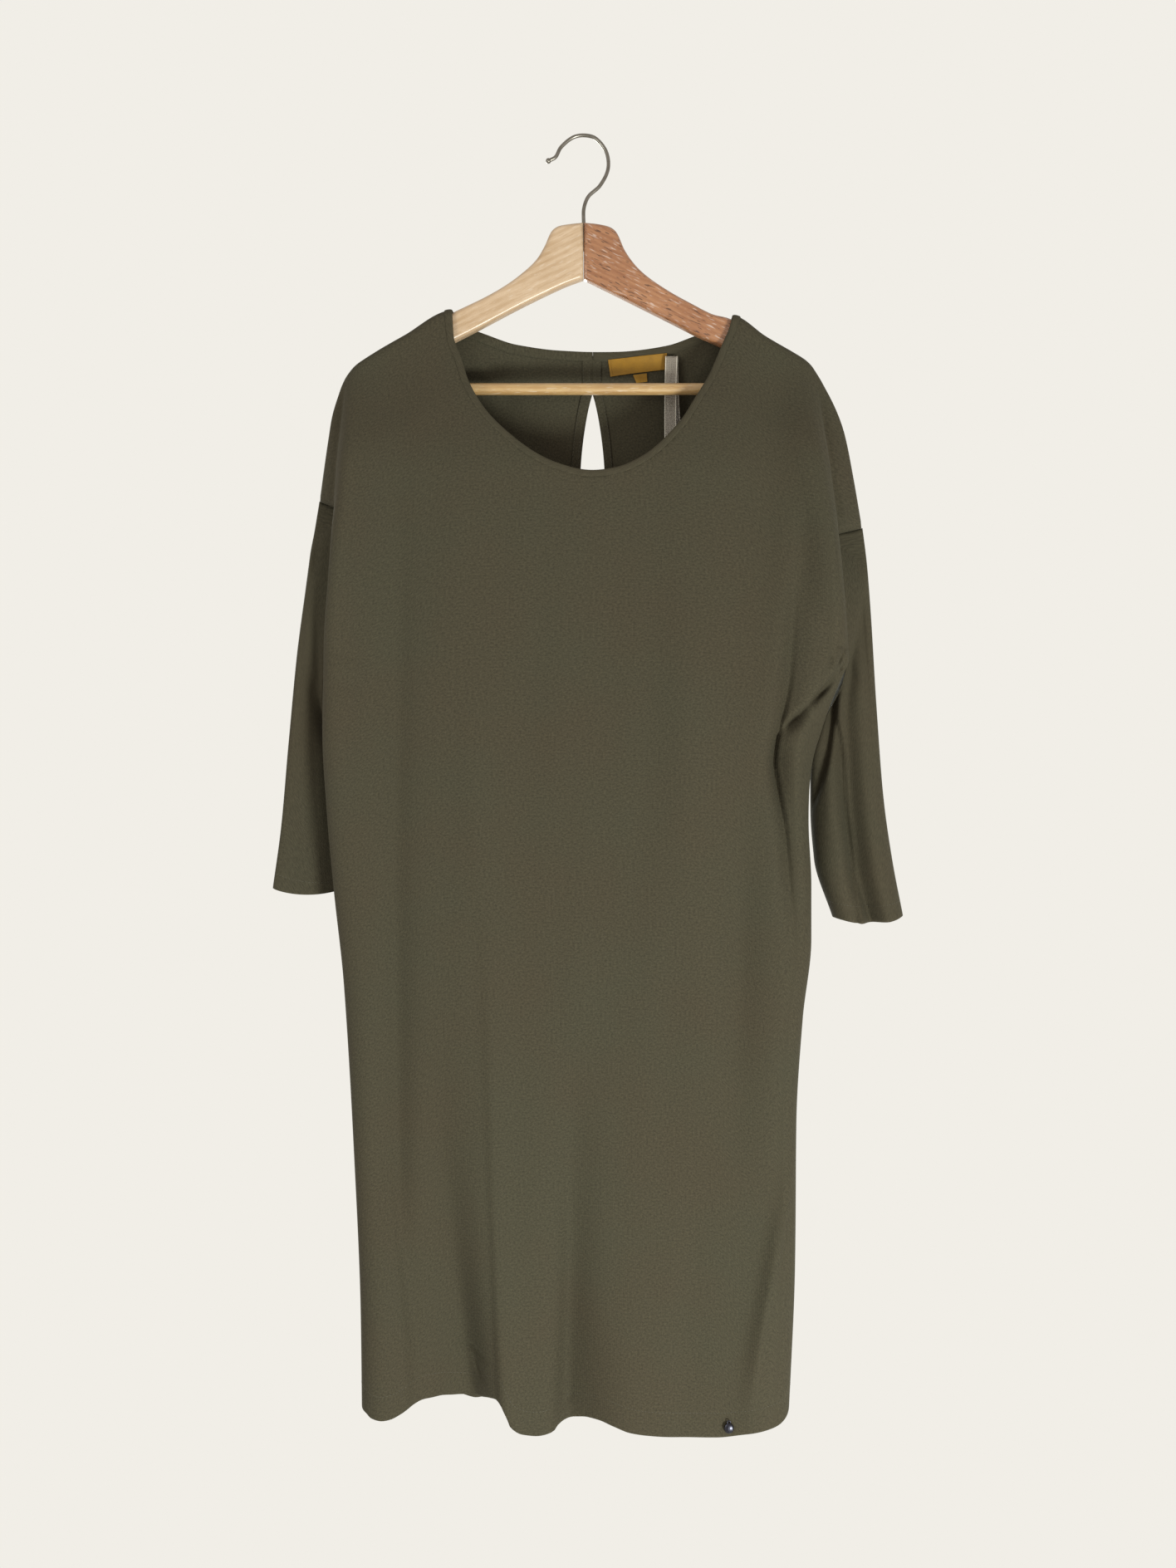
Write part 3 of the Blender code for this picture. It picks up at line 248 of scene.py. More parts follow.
HEM_FRONT, HEM_BACK, HEM_SEAM, HEM_SEAM_REACH = -1145.0, -1138.0, -1131.0, 0.1
HEM_FRONT_X_Z = (
    (-198, -1131), (-190.8, -1131.5), (-185.8, -1134.3), (-176.7, -1135.7), (-168.8, -1134.7),
    (-159.2, -1131), (-151.7, -1127.3), (-140, -1123.6), (-128, -1123.6), (-115, -1126),
    (-101.4, -1127), (-91.6, -1124), (-83, -1118.5), (-76.5, -1116.5), (-72, -1119),
    (-67.5, -1127.5), (-63.3, -1136.5), (-58.1, -1141.8), (-52.7, -1144.8), (-39.5, -1147.1),
    (-27.4, -1145.9), (-18.1, -1142.9), (-5.9, -1140.6), (3.2, -1138.8), (12.6, -1138.4),
    (27.1, -1141.4), (40, -1145.1), (55.2, -1147.1), (85, -1148.6), (116.1, -1148.8),
    (146.2, -1144.8), (160.8, -1141.8), (170.8, -1139.5), (178, -1136), (183, -1131),
)

# top, bottom, forward, backward, inward at the back, and inward at the top of the front, where the
# armhole runs in under the edge of the front
ARMHOLE_LEFT = ((-238.3, 10.0, -324.7), (-230.6, -1.0, -475.0), 13.0, 12.0, 7.0, 19.0)
ARMHOLE_RIGHT = ((251.0, 8.0, -349.0), (236.4, -6.0, -470.0), 7.0, 20.0, -10.0, -25.0)
ARMHOLE_CORNER = 0.06

# along, outer x y z, inner x y z, front, back, crease
SLEEVE_LEFT = (
    (0.00, -238.3, 10, -324.7, -230.6, -1, -475, 13, 12, 0),
    (0.10, -244.2, 11.2, -360, -234.5, 3, -491, 15, 15, 0),
    (0.20, -250.5, 12, -406, -236, 12, -511, 17, 17, 0),
    (0.35, -258.5, 12, -462, -230, 28, -549, 14, 14, 0),
    (0.55, -266.5, 12, -541, -202, 39, -604, 9, 10, 0),
    (0.78, -273.5, 12, -619, -180, 42, -640, 7, 8, 0),
    (1.00, -281, 12, -674, -178, 42, -654, 7, 8, 0),
)
SLEEVE_RIGHT = (
    (0.00, 251, 8, -349, 236.4, -6, -470, 7, 20, 0),
    (0.10, 255.5, 9.5, -382, 232.5, 6, -492, 7.5, 23, 0),
    (0.20, 259.2, 11, -425, 222.5, 17, -515, 9, 20, 2),
    (0.38, 264.5, 12, -509, 207.5, 22, -558, 15, 18, 8),
    (0.60, 270.5, 12, -590, 207, 19, -605, 21, 24, 15),
    (0.80, 278.5, 12, -648, 209.5, 14, -648, 24, 28, 20),
    (1.00, 288, 12, -698, 226, 13, -700, 26, 28, 22),
)
CREASE_AT, CREASE_WIDTH, HOLE_REACH = 0.47, 0.13, 0.12
SLEEVE_GAP, GAP_REACH, GAP_DOWN = 0.2, 0.15, 0.3
BULGE_BIAS_LEFT, BULGE_BIAS_RIGHT = 0.7, 0.0
CUFF_SAG_LEFT, CUFF_SAG_RIGHT, CUFF_REACH = 14.0, 5.0, 0.4
SLEEVE_SEAM_REACH, SLEEVE_FOLD_POWER = 0.08, 0.7
SLEEVE_WAVES, SLEEVE_SEED_LEFT, SLEEVE_SEED_RIGHT = 0.8, 2.2, 5.3
SLEEVE_CREASES = {
    "left": (
        ((-330, -236.4, 1.8, 4, 0), (-385, -241.5, 1.8, 4.5, 1.8), (-446, -251.2, 1.8, 5, 2.2),
         (-522, -257.2, 2, 5, 1.8), (-600, -262, 3, 5, 0)),
        ((-500, -236, 5, 6, 0), (-590, -238, 5, 7, -1), (-668, -240, 5, 7, -0.6)),
    ),
    "right": (
        # the edge where the sleeve's front lies over its underarm
        ((-470, 232.5, 8, 1.6, 0), (-483.2, 230.4, 8, 1.6, 6), (-523.1, 226.2, 9, 1.6, 9),
         (-557.1, 220.4, 9, 1.6, 9), (-592.6, 210.6, 6, 1.6, 6), (-606, 207, 5, 1.6, 0)),
        # the valley down to the cuff, its right lip the nearer
        ((-500, 227, 8, 1.8, 0), (-514.2, 227.8, 8, 1.6, 5), (-548.6, 233, 10, 1.6, 8),
         (-600, 236.7, 10, 1.6, 9), (-645, 241.1, 10, 1.7, 7.5), (-705, 244.6, 10, 1.8, 5)),
        ((-540, 222.5, 5, 5, 0), (-590, 220.5, 5, 5, -1.4), (-640, 219, 5, 6, 0)),
        ((-400, 250, 6, 1.6, 0), (-429.2, 251.6, 6, 1.6, 1.6), (-483.2, 255.8, 6, 1.6, 1.8),
         (-523, 257.2, 6, 1.8, 1.2), (-580, 260, 6, 2, 0)),
    ),
}
SLEEVE_PULLS = {
    "left": ((-232.0, -470.0, -246.0, -505.0, 5.0, 5.0, 1.0),),
    "right": ((238.0, -462.0, 246.0, -492.0, 3.0, 3.0, 1.4),),
}

NECK_FRONT_X_DROP = (
    (-117.5, 0), (-116.6, 12), (-115, 29), (-109, 45), (-100.7, 69.7), (-85.6, 95),
    (-64, 116.8), (-38, 135.5), (-10, 146), (12, 148), (36, 142.5), (60, 128),
    (84.3, 102.2), (99.2, 78), (111, 57.3), (122.8, 29.5), (130, 12), (133.5, 0),
)
NECK_BACK_X_DROP = (
    (-117.5, 0), (-115, 5), (-107, 10), (-92, 15), (-60, 23.5), (-12.6, 27.8),
    (38, 27), (75, 21.4), (103.6, 12.5), (121, 9), (130.5, 5), (133.5, 0),
)
BINDING_FRONT, BINDING_BACK = 6.0, 8.4
BINDING_CHANGE, NECK_STEP = 0.1, 0.004
BINDING_PLACES = (
    (0, 0), (0.12, 0.72), (0.21, 1), (0.28, 1.06), (0.72, 1.94), (0.79, 2), (0.88, 2.28), (1, 3),
)
CENTRE_NECK = 0.503

CENTRE_BACK_X, CENTRE_REACH = 8.0, 0.6
SLIT_TOP, SLIT_LENGTH, SLIT_WIDTH = -222.0, 180.0, 24.0
SLIT_ROUND, SLIT_FADE = 0.75, 3

LABEL_CORNERS_X_Z = ((22.1, -192.6), (75.9, -187.0), (76.4, -201.0), (24.4, -207.6))
TAB_CORNERS_X_Z = ((45.0, -206.2), (57.6, -204.7), (58.2, -212.2), (48.2, -213.7))
LOOP_X_Y_Z = (
    (80.4, 20.6, -190), (81.4, 20, -230), (85, 17, -280), (87, 13, -325),
    (86, 8.5, -337), (82, 4.5, -338), (79.5, 3, -326), (78.5, 8.5, -280),
    (78.6, 14, -230), (79.6, 17.4, -191),
)
BEAD_X, BEAD_Z, BEAD_SIZE = 126.4, -1140.0, (9.0, 4.4, 11.0)

ARM_THICKNESS, ARM_EDGE, MITRE_GAP = 13.0, 4.0, 0.4
ARM_LEFT_TOP_X_Z = (
    (-13, -79.2), (-23.5, -81.4), (-29.2, -86.2), (-35.1, -99.1), (-42.7, -111.4), (-56, -123.8),
    (-71.3, -134.8), (-88.5, -144.6), (-117, -158.4), (-160, -180.8), (-198, -203),
    (-206, -209.5),
)
ARM_LEFT_END_X_Z = ((-209.6, -216.5), (-209.8, -226.0), (-206.0, -234.0), (-199.0, -235.6), (-193.0, -231.0))
ARM_LEFT_BOTTOM_X_Z = ((-175.0, -214.6), (-114.7, -183.4), (-93.6, -172.6), (-55.7, -152.6), (-17.9, -134.4))
ARM_RIGHT_TOP_X_Z = (
    (13, -79.2), (24, -82), (29.8, -87), (37.1, -102.9), (46.6, -116.2), (58, -126.7),
    (76.9, -139.4), (96, -150), (115, -159.6), (131, -163.9), (162.6, -181.4), (196, -200.6),
    (202, -206),
)
ARM_RIGHT_END_X_Z = ((205.2, -213.5), (206.2, -223.0), (204.0, -233.0), (198.0, -235.6), (191.0, -231.5))
ARM_RIGHT_BOTTOM_X_Z = ((172.0, -214.4), (123.9, -188.4), (101.2, -178.2), (76.6, -165.7), (19.9, -137.4))
ARM_TOP, ARM_NOTCH = -77.9, -127.8
BAR_RADIUS, BAR_Z, BAR_LEFT, BAR_RIGHT = 5.25, -225.9, -200.5, 198.0
WIRE_RADIUS, WIRE_END, BALL_RADIUS = 1.65, -102.0, 2.4
HOOK_X_Z = (
    (-31.6, -21.2), (-25.2, -17.7), (-20.5, -9.2), (-10, -0.4), (0, 1.7), (10.8, -1.1),
    (20.4, -13.5), (21.8, -28.7), (14.6, -43.4), (4.2, -53.3), (0.2, -64), (0, -77),
)


# How the grids and the sewing are laid out: rows and columns, and lengths in millimetres
ROLL_ROWS = (0.0, 1.2, 2.6, 4.4, 6.6, 9.2, 12.2, 15.6, 19.4)
HEM_ROWS = (28.0, 25.0, 22.6, 21.2, 20.4, 19.6, 18.8, 17.0, 13.5, 10.0, 7.0, 4.0, 1.6, 0.0)
SNAP_POINT, SNAP_UNDERARM = 0.12, 0.265
SNAP_START, SNAP_REACH = 0.36, 0.11
CROWDED_ROWS = ((0.3, 0.065, 2.4), (0.95, 0.05, 1.0))
CROWDED_COLUMNS = ((0.05, 0.05, 1.0), (0.27, 0.045, 0.8), (0.935, 0.055, 1.7))
CUFF_ROWS = (0.07, 0.062, 0.058, 0.055, 0.05, 0.04, 0.028, 0.016, 0.007, 0.0)
CENTRE_COLUMNS = (0.0, 0.0036, 0.0105, 0.0185, 0.0265, 0.034, 0.037, 0.041)
HEM_TURN_ROWS, CUFF_TURN_ROWS, SLEEVE_WELD = len(HEM_ROWS) - 5, 6, 0.01
FOLD_PAST_HEM, FOLD_PAST_CUFF, FOLD_PAST_EDGE = 0.12, 0.1, 0.25
EDGE_GAP_SHARE, HALF_SEAM_GAP = 0.8, 0.03
PANEL_WIDTH, HALF_BACK_WIDTH = 450.0, 210.0
SIDE_DIP, SIDE_DIP_REACH = 0.6, 2.2
SHOULDER_DIP, CENTRE_DIP, SEAM_DIP_REACH = 0.5, 0.5, 2.0
STITCH_SIDES, STITCH_RINGS = 6, ((-0.36, 0.8), (0.0, 1.0), (0.36, 0.8))
STITCH_LIFT, EDGE_STITCH_LIFT = 0.4, 0.45
HEM_STITCH_ROW, CUFF_STITCH_ROW = -10, -7
SLIT_STITCH_TOP, SLIT_STITCH_COLUMNS = -200.0, (2, 5)
NECK_CUT_OFFSET, NECK_CUT_POINTS, NECK_CUT_REACH = 3.2, 500, 145.0
# Across the binding and out of the cloth, round its section, for a binding of width 1 and in millimetres
BINDING_SECTION = (
    (1.0, 0.2), (0.97, 1.0), (0.84, 1.4), (0.55, 1.45), (0.3, 1.35), (0.1, 1.05), (0.0, 0.5), (-0.02, 0.0),
    (0.0, -0.5), (0.1, -1.0), (0.3, -1.35), (0.55, -1.5), (0.84, -1.45), (0.97, -1.05), (1.0, -0.2),
)
BINDING_COLUMNS, BINDING_END_GAP = 421, 0.1 / 290.0
SOFTENING = np.array((1.0, 2.0, 3.0, 2.0, 1.0)) / 9.0
PATCH_COLUMNS, PATCH_ROWS, PATCH_WAVE, PATCH_BEVEL, TAB_BEHIND = 48, 18, 0.5, 0.2, 0.1
LABEL_STITCH, LABEL_STITCH_COLUMNS = (2.0, 1.5, 0.4), (2, 45)
RIBBON_ROWS, RIBBON_COLUMNS, RIBBON_CURL, RIBBON_SWAY, RIBBON_WAVES = 140, 13, 0.25, 0.2, 40.0
RIBBON_WALL, RIBBON_EDGE_RADIUS, RIBBON_COVER, RIBBON_EDGE_COVER = 0.25, 0.34, 0.55, 0.86
BEAD_CLEAR, BEAD_HALF_SHARE, BEAD_RIB, BEAD_RIBS = 0.65, 0.42, 0.05, 8.0
EYE_RISE, EYE_RADIUS, EYE_WIRE_RADIUS = 0.6, 1.3, 0.45
ARM_TOP_POINTS, ARM_END_POINTS, ARM_BOTTOM_POINTS = 90, 30, 60
ARM_WELD, ARM_FLAT, GRAIN_TILT = 0.02, 0.9, 0.46
BAR_POINTS, BAR_CAP, BAR_END = 60, 0.4, 2.0
HOOK_POINTS, WIRE_STEM_Z, EYE_POINTS = 120, (-84.0, -92.0), 25

# The studio, in metres. Each lamp has a place, the height it aims at, a size and a share of the key's power.
FLOOR_RADIUS, FLOOR_TONES = 1.05, (0.66, 0.62)
CAMERA_PLACE, SENSOR_WIDTH, CAMERA_NEAR, CAMERA_FAR = (0.0039, -1.25, -0.580), 36.0, 0.01, 50.0
LAMPS = (
    ("key", (0.9, -1.55, -1.6), -0.8, 0.5, 1.0),
    ("fill", (-1.3, -1.3, -0.4), -0.7, 0.6, 0.2),
    ("back", (-0.9, 1.9, -0.1), -0.6, 0.9, 0.6),
)


# Smooth curves through tables, for whole arrays at a time


def ease(value):
    share = np.clip(value, 0.0, 1.0)
    return share * share * (3.0 - 2.0 * share)


def through(rows, column, at):
    """Smooth values of one column at places along the first, without overshoot."""
    table = np.array(rows, float)
    if table[0, 0] > table[-1, 0]:
        table = table[::-1]
    keys, values = table[:, 0], table[:, column]
    steps = np.diff(keys)
    slopes = np.diff(values) / steps
    tangents = np.zeros(len(keys))
    tangents[0], tangents[-1] = slopes[0], slopes[-1]
    same = slopes[:-1] * slopes[1:] > 0.0
    total = np.where(same, slopes[:-1] + slopes[1:], 1.0)
    tangents[1:-1] = np.where(same, 2.0 * slopes[:-1] * slopes[1:] / total, 0.0)
    at = np.clip(at, keys[0], keys[-1])
    place = np.clip(np.searchsorted(keys, at, side="left") - 1, 0, len(steps) - 1)
    step = steps[place]
    t = (at - keys[place]) / step
    low = values[place] * (1.0 + 2.0 * t) + step * tangents[place] * t
    high = values[place + 1] * (3.0 - 2.0 * t) - step * tangents[place + 1] * (1.0 - t)
    return low * (1.0 - t) ** 2 + high * t * t


def lengths_along(points):
    return np.concatenate(([0.0], np.cumsum(np.linalg.norm(np.diff(points, axis=0), axis=1))))


def along(points, share):
    """Points at shares of the length of a smooth line through points of any dimension."""
    table = np.array(points, float)
    keys = lengths_along(table)
    keys = keys / keys[-1]
    share = np.clip(share, 0.0, 1.0)
    place = np.clip(np.searchsorted(keys, share, side="left") - 1, 0, len(keys) - 2)
    index = np.arange(len(keys))
    low, high = np.maximum(index - 1, 0), np.minimum(index + 1, len(keys) - 1)
    tangents = (table[high] - table[low]) / (keys[high] - keys[low])[:, None]
    step = (keys[place + 1] - keys[place])[..., None]
    t = (share - keys[place])[..., None] / step
    rise = table[place] * (1.0 + 2.0 * t) * (1.0 - t) ** 2 + table[place + 1] * t * t * (3.0 - 2.0 * t)
    return rise + step * (tangents[place] * t * (1.0 - t) ** 2 - tangents[place + 1] * t * t * (1.0 - t))


# The cloth of the body


def main_folds(folds, x, z):
    total = np.zeros_like(x)
    for x0, z0, x1, z1, left, right, d0, dm, d1, fade in folds:
        share = (z0 - z) / (z0 - z1)
        t = np.clip(share, 0.0, 1.0)
        middle = x0 + (x1 - x0) * t
        width = np.where(x < middle, left, right)
        depth = d0 * (1.0 - t) * (1.0 - 2.0 * t) + 4.0 * dm * t * (1.0 - t) + d1 * t * (2.0 * t - 1.0)
        outside = np.maximum(np.maximum(z - z0, z1 - z), 0.0)
        total += depth * ease(1.0 - outside / fade) * np.exp(-(((x - middle) / width) ** 2))
    return total


def creases(lines, x, z):
    total = np.zeros_like(x)
    for line in lines:
        middle = through(line, 1, z)
        width = np.where(x < middle, through(line, 2, z), through(line, 3, z))
        inside = (z <= line[0][0]) & (z >= line[-1][0] - PAST_END)
        total += inside * through(line, 4, z) * np.exp(-(((x - middle) / width) ** 2))
    return total


def pulls(segments, x, z):
    total = np.zeros_like(x)
    for x0, z0, x1, z1, left, right, depth in segments:
        across, down = x1 - x0, z1 - z0
        t = np.clip(((x - x0) * across + (z - z0) * down) / (across**2 + down**2), 0.0, 1.0)
        away = np.hypot(x - x0 - t * across, z - z0 - t * down)
        width = np.where(across * (z - z0) - down * (x - x0) > 0.0, left, right)
        deep = PULL_END + (1.0 - PULL_END) * np.sin(math.pi * t)
        total += depth * deep * np.exp(-((away / width) ** 2))
    return total


def unevenness(x, z, seed):
    """The gentle waves that hanging jersey has between its folds."""
    waves = 0.55 * np.sin(x / 17.0 + z / 93.0 + seed) * np.sin(z / 61.0 + 0.6 * seed)
    waves += 0.35 * np.sin(x / 9.5 - z / 140.0 + 2.3 * seed) * np.sin(z / 87.0 + 1.1)
    return waves + 0.22 * np.sin(x / 6.1 + z / 31.0 + 1.7 * seed) * np.sin(z / 23.0 - x / 40.0)


def pressed(back, x, z):
    """How deep the cloth is pressed in by all its folds."""
    folds, lines, segments, seed = (
        (BACK_FOLDS, BACK_CREASES, BACK_PULLS, BACK_SEED) if back
        else (FRONT_FOLDS, FRONT_CREASES, FRONT_PULLS, FRONT_SEED)
    )
    return main_folds(folds, x, z) + creases(lines, x, z) + pulls(segments, x, z) + unevenness(x, z, seed)


def shoulder_z(x):
    return through(SHOULDER_X_Z_Y, 1, x)


def drop_at(length):
    rolled = ROLL * (1.0 - np.cos(0.5 * math.pi * np.minimum(length, ROLL_LENGTH) / ROLL_LENGTH))
    return np.where(length >= ROLL_LENGTH, length - ROLL_LENGTH + ROLL, rolled)


def length_at(drop):
    rolled = ROLL_LENGTH * np.arccos(1.0 - np.clip(drop, 0.0, ROLL) / ROLL) / (0.5 * math.pi)
    return np.where(drop >= ROLL, drop - ROLL + ROLL_LENGTH, rolled)


def layer_depth(back, x, z, drop):
    level = through(DEPTH_Z_FRONT_BACK, 2 if back else 1, z)
    outward = 1.0 if back else -1.0
    near_arm = outward * np.minimum(ARM_CLEAR, np.abs(level))
    free = ease(np.minimum(x - NECK_LEFT, NECK_RIGHT - x) / NECK_SETTLE)
    depth = near_arm + (level - near_arm) * np.maximum(ease(drop / SETTLE), free)
    depth = depth - outward * pressed(back, x, z)
    past_arm = ease((np.abs(x) - ARM_REACH) / ROLL_WIDENS)
    roll = np.clip(drop / (ROLL + (ROLL_PAST_ARM - ROLL) * past_arm), 0.0, 1.0)
    return depth * np.sqrt(1.0 - (1.0 - roll) ** 2)


def armhole(hole, back, z):
    top, bottom, forward, backward, inward, tucked = hole
    cosine = np.clip(2.0 * (z - bottom[2]) / (top[2] - bottom[2]) - 1.0, -1.0, 1.0)
    bow = 1.0 - cosine * cosine
    share = 0.5 + 0.5 * cosine
    bent = inward * bow if back else tucked * share * ease((1.0 - share) / ARMHOLE_CORNER)
    x = bottom[0] + (top[0] - bottom[0]) * share + bent
    y = bottom[1] + (top[1] - bottom[1]) * share + (backward if back else -forward) * bow
    return x, y


def side_seam(table, hole, back, z):
    """The edge of a panel at one side: dropped shoulder, armhole and side seam in turn."""
    top, bottom = hole[0], hole[1]
    dropped = sorted((row[1], row[0], row[2]) for row in SHOULDER_X_Z_Y if row[0] * top[0] > ARM_REACH**2)
    hole_x, hole_y = armhole(hole, back, z)
    fade = ease(1.0 - (bottom[2] - z) / UNDERARM_FADE)
    found = []
    for column, shoulder, hole_edge, meeting in (
        (3, through(dropped, 1, z), hole_x, bottom[0]),
        (4, through(dropped, 2, z), hole_y, bottom[1]),
    ):
        below = through(table, column, z)
        below = below + (meeting - through(table, column, np.array(bottom[2]))) * fade
        found.append(np.where(z > top[2], shoulder, np.where(z > bottom[2], hole_edge, below)))
    return found


def section(back, u, z, drop):
    """Points of a panel at shares of its width, on the section at each height."""
    column = 2 if back else 1
    inner_left = through(SIDE_LEFT, column, z) + EDGE_ROUND_LEFT
    inner_right = through(SIDE_RIGHT, column, z) - EDGE_ROUND_RIGHT
    left = u < 0.5
    left_x, left_y = side_seam(SIDE_LEFT, ARMHOLE_LEFT, back, z)
    right_x, right_y = side_seam(SIDE_RIGHT, ARMHOLE_RIGHT, back, z)
    seam_x, seam_y = np.where(left, left_x, right_x), np.where(left, left_y, right_y)
    inner = np.where(left, inner_left, inner_right)
    inward = np.where(left, EDGE_ROUND_LEFT, -EDGE_ROUND_RIGHT)
    share = np.clip(np.minimum(u, 1.0 - u) / EDGE_SHARE, 0.0, 1.0)
    turn = 0.5 * math.pi * share
    turned = inner - inward + inward * (1.0 - np.cos(turn)) ** EDGE_SQUARE
    turned = turned + (seam_x - inner + inward) * (1.0 - ease(np.sin(turn) / SEAM_REACH))
    flat = seam_x + (inner - seam_x) * share
    depth = layer_depth(back, inner, z, drop)
    x = flat + (turned - flat) * ease(np.abs(depth - seam_y) / TURN_DEPTH)
    across = np.clip((u - EDGE_SHARE) / (1.0 - 2.0 * EDGE_SHARE), 0.0, 1.0)
    return x + inner_left + (inner_right - inner_left) * across - inner, seam_y, np.sin(turn)


def hem_z(back, u):
    """The level of the hem across a panel. The front and the back meet at the side seams."""
    if back:
        return HEM_SEAM + (HEM_BACK - HEM_SEAM) * ease(np.minimum(u, 1.0 - u) / HEM_SEAM_REACH)
    x, _, _ = section(False, u, np.full_like(u, HEM_FRONT), np.full_like(u, SETTLE))
    return through(HEM_FRONT_X_Z, 1, x)


def body(back, u, drop):
    """Points of the front or the back at shares of the width, each at its drop from the shoulder."""
    x0 = through(START_U_X, 1, u)
    top_z, top_y = shoulder_z(x0), through(SHOULDER_X_Z_Y, 2, x0)
    z = top_z - drop
    hold = ease(1.0 - drop / START_REACH)
    x, seam_y, out = section(back, u, z, drop)
    base_x, base_y, base_out = section(back, u, top_z, drop)
    x = x + (x0 - base_x) * hold
    y = seam_y + (layer_depth(back, x, z, drop) - seam_y) * out
    y = y + (top_y - base_y * (1.0 - base_out)) * hold
    return np.stack((x, y, z), axis=-1)


def spread(count, crowded):
    """Shares from 0 to 1 that lie closer together around some places: each a place, a reach and how much."""
    fine = np.linspace(0.0, 1.0, 2001)
    density = 1.0 + sum(much * np.exp(-(((fine - place) / reach) ** 2)) for place, reach, much in crowded)
    total = np.concatenate(([0.0], np.cumsum(0.5 * (density[1:] + density[:-1]))))
    return np.interp(np.linspace(0.0, 1.0, count), total / total[-1], fine)


def cloth_rows(back, u, rows):
    """The drops of a panel's rows at each share of its width: close together in the roll over the
    shoulder and in the hem, and through the shoulder point and the underarm at the sides."""
    x0 = through(START_U_X, 1, u)
    top_z = shoulder_z(x0)
    length = length_at(top_z - hem_z(back, u))
    top = np.array(ROLL_ROWS)
    hem = np.array(HEM_ROWS)
    middle = spread(rows - len(top) - len(hem) + 2, CROWDED_ROWS)[1:-1, None]
    start, end = top[-1], length - hem[0]
    spaced = start + (end - start) * middle
    hole_z = [np.where(u < 0.5, ARMHOLE_LEFT[k][2], ARMHOLE_RIGHT[k][2]) for k in (0, 1)]
    point, underarm = ((length_at(top_z - z) - start) / (end - start) for z in hole_z)
    snapped = np.where(
        middle < SNAP_POINT, middle / SNAP_POINT * point,
        np.where(
            middle < SNAP_UNDERARM,
            point + (middle - SNAP_POINT) / (SNAP_UNDERARM - SNAP_POINT) * (underarm - point),
            underarm + (middle - SNAP_UNDERARM) / (1.0 - SNAP_UNDERARM) * (1.0 - underarm),
        ),
    )
    near_side = ease((np.abs(u - 0.5) - SNAP_START) / SNAP_REACH)
    spaced = spaced + (start + (end - start) * snapped - spaced) * near_side
    lengths = np.concatenate((np.repeat(top[:, None], len(u), 1), spaced, length - hem[:, None]))
    return drop_at(lengths)


def normals(points, facing):
    """The direction out of a grid of points, towards its outer face."""
    across = np.gradient(points, axis=1)
    down = np.gradient(points, axis=0)
    cross = np.cross(across, down) * facing
    size = np.linalg.norm(cross, axis=-1, keepdims=True)
    return cross / np.maximum(size, 1e-9)


def hem_turned(points, out, rows, depth, past):
    """Adds rows behind the last ones, as a hem turned to the inside: the fold and then `rows` rows up."""
    fold = points[-1] - out[-1] * 0.5 * depth + (points[-1] - points[-3]) * past
    inside = [points[-1 - k] - out[-1 - k] * depth for k in range(1, rows + 1)]
    return np.concatenate((points, fold[None], np.array(inside)))


def slit_half(z):
    share = np.clip((SLIT_TOP - z) / SLIT_LENGTH, 0.0, 1.0)
    return 0.5 * SLIT_WIDTH * np.sin(math.pi * share) ** SLIT_ROUND


def centre_back_share():
    """The share of the back's width that the centre seam is at, found by halving."""
    start, end = 0.0, 1.0
    for _ in range(40):
        middle = 0.5 * (start + end)
        x, _, _ = section(True, np.array([middle]), np.array([HEM_BACK]), np.array([SETTLE]))
        if x[0] < CENTRE_BACK_X:
            start = middle
        else:
            end = middle
    return start


def on_layer(back, x, drop):
    """Points of the front or the back at places across and down from the shoulder line."""
    z = shoulder_z(x) - drop
    return np.stack((x, layer_depth(back, x, z, drop), z), axis=-1)


def neck_line(back, share, offset):
    """Places across and down from the shoulder, beside the neck's edge by an offset outward."""
    table = NECK_BACK_X_DROP if back else NECK_FRONT_X_DROP
    points = [(x, float(length_at(np.array(drop)))) for x, drop in table]
    before = along(points, np.maximum(share - NECK_STEP, 0.0))
    after = along(points, np.minimum(share + NECK_STEP, 1.0))
    across, down = after[..., 0] - before[..., 0], after[..., 1] - before[..., 1]
    at_end = np.minimum(share, 1.0 - share) < 0.5 * NECK_STEP
    across = np.where(at_end, 0.0, across)
    down = np.where(at_end, np.where(share < 0.5, 1.0, -1.0), down)
    length = np.hypot(across, down)
    place = along(points, share)
    return place[..., 0] - offset * down / length, np.maximum(0.0, place[..., 1] + offset * across / length)


def open_neck(back, points, faces):
    """Takes out the faces inside the neck, and brings the cut edge onto a line under the binding."""
    flat = points.reshape(-1, 3)
    x, length = flat[:, 0], length_at(np.maximum(shoulder_z(flat[:, 0]) - flat[:, 2], 0.0))
    line_x, line_s = neck_line(back, np.linspace(0.0, 1.0, NECK_CUT_POINTS), NECK_CUT_OFFSET)
    order = np.argsort(line_x)
    line = np.stack((line_x[order], line_s[order]), axis=-1)
    level = np.interp(x, line[:, 0], line[:, 1], left=-1.0, right=-1.0)
    inside = (length < level) & (np.abs(x) < NECK_CUT_REACH)
    faces = faces[~inside[faces].all(axis=1)]
    used = np.zeros(len(flat), bool)
    used[faces.ravel()] = True
    moved = np.flatnonzero(inside & used)
    away = (line[None, :, 0] - x[moved, None]) ** 2 + (line[None, :, 1] - length[moved, None]) ** 2
    nearest = line[away.argmin(axis=1)]
    flat = flat.copy()
    flat[moved] = on_layer(back, nearest[:, 0], drop_at(nearest[:, 1]))
    return flat, faces


# Sleeves


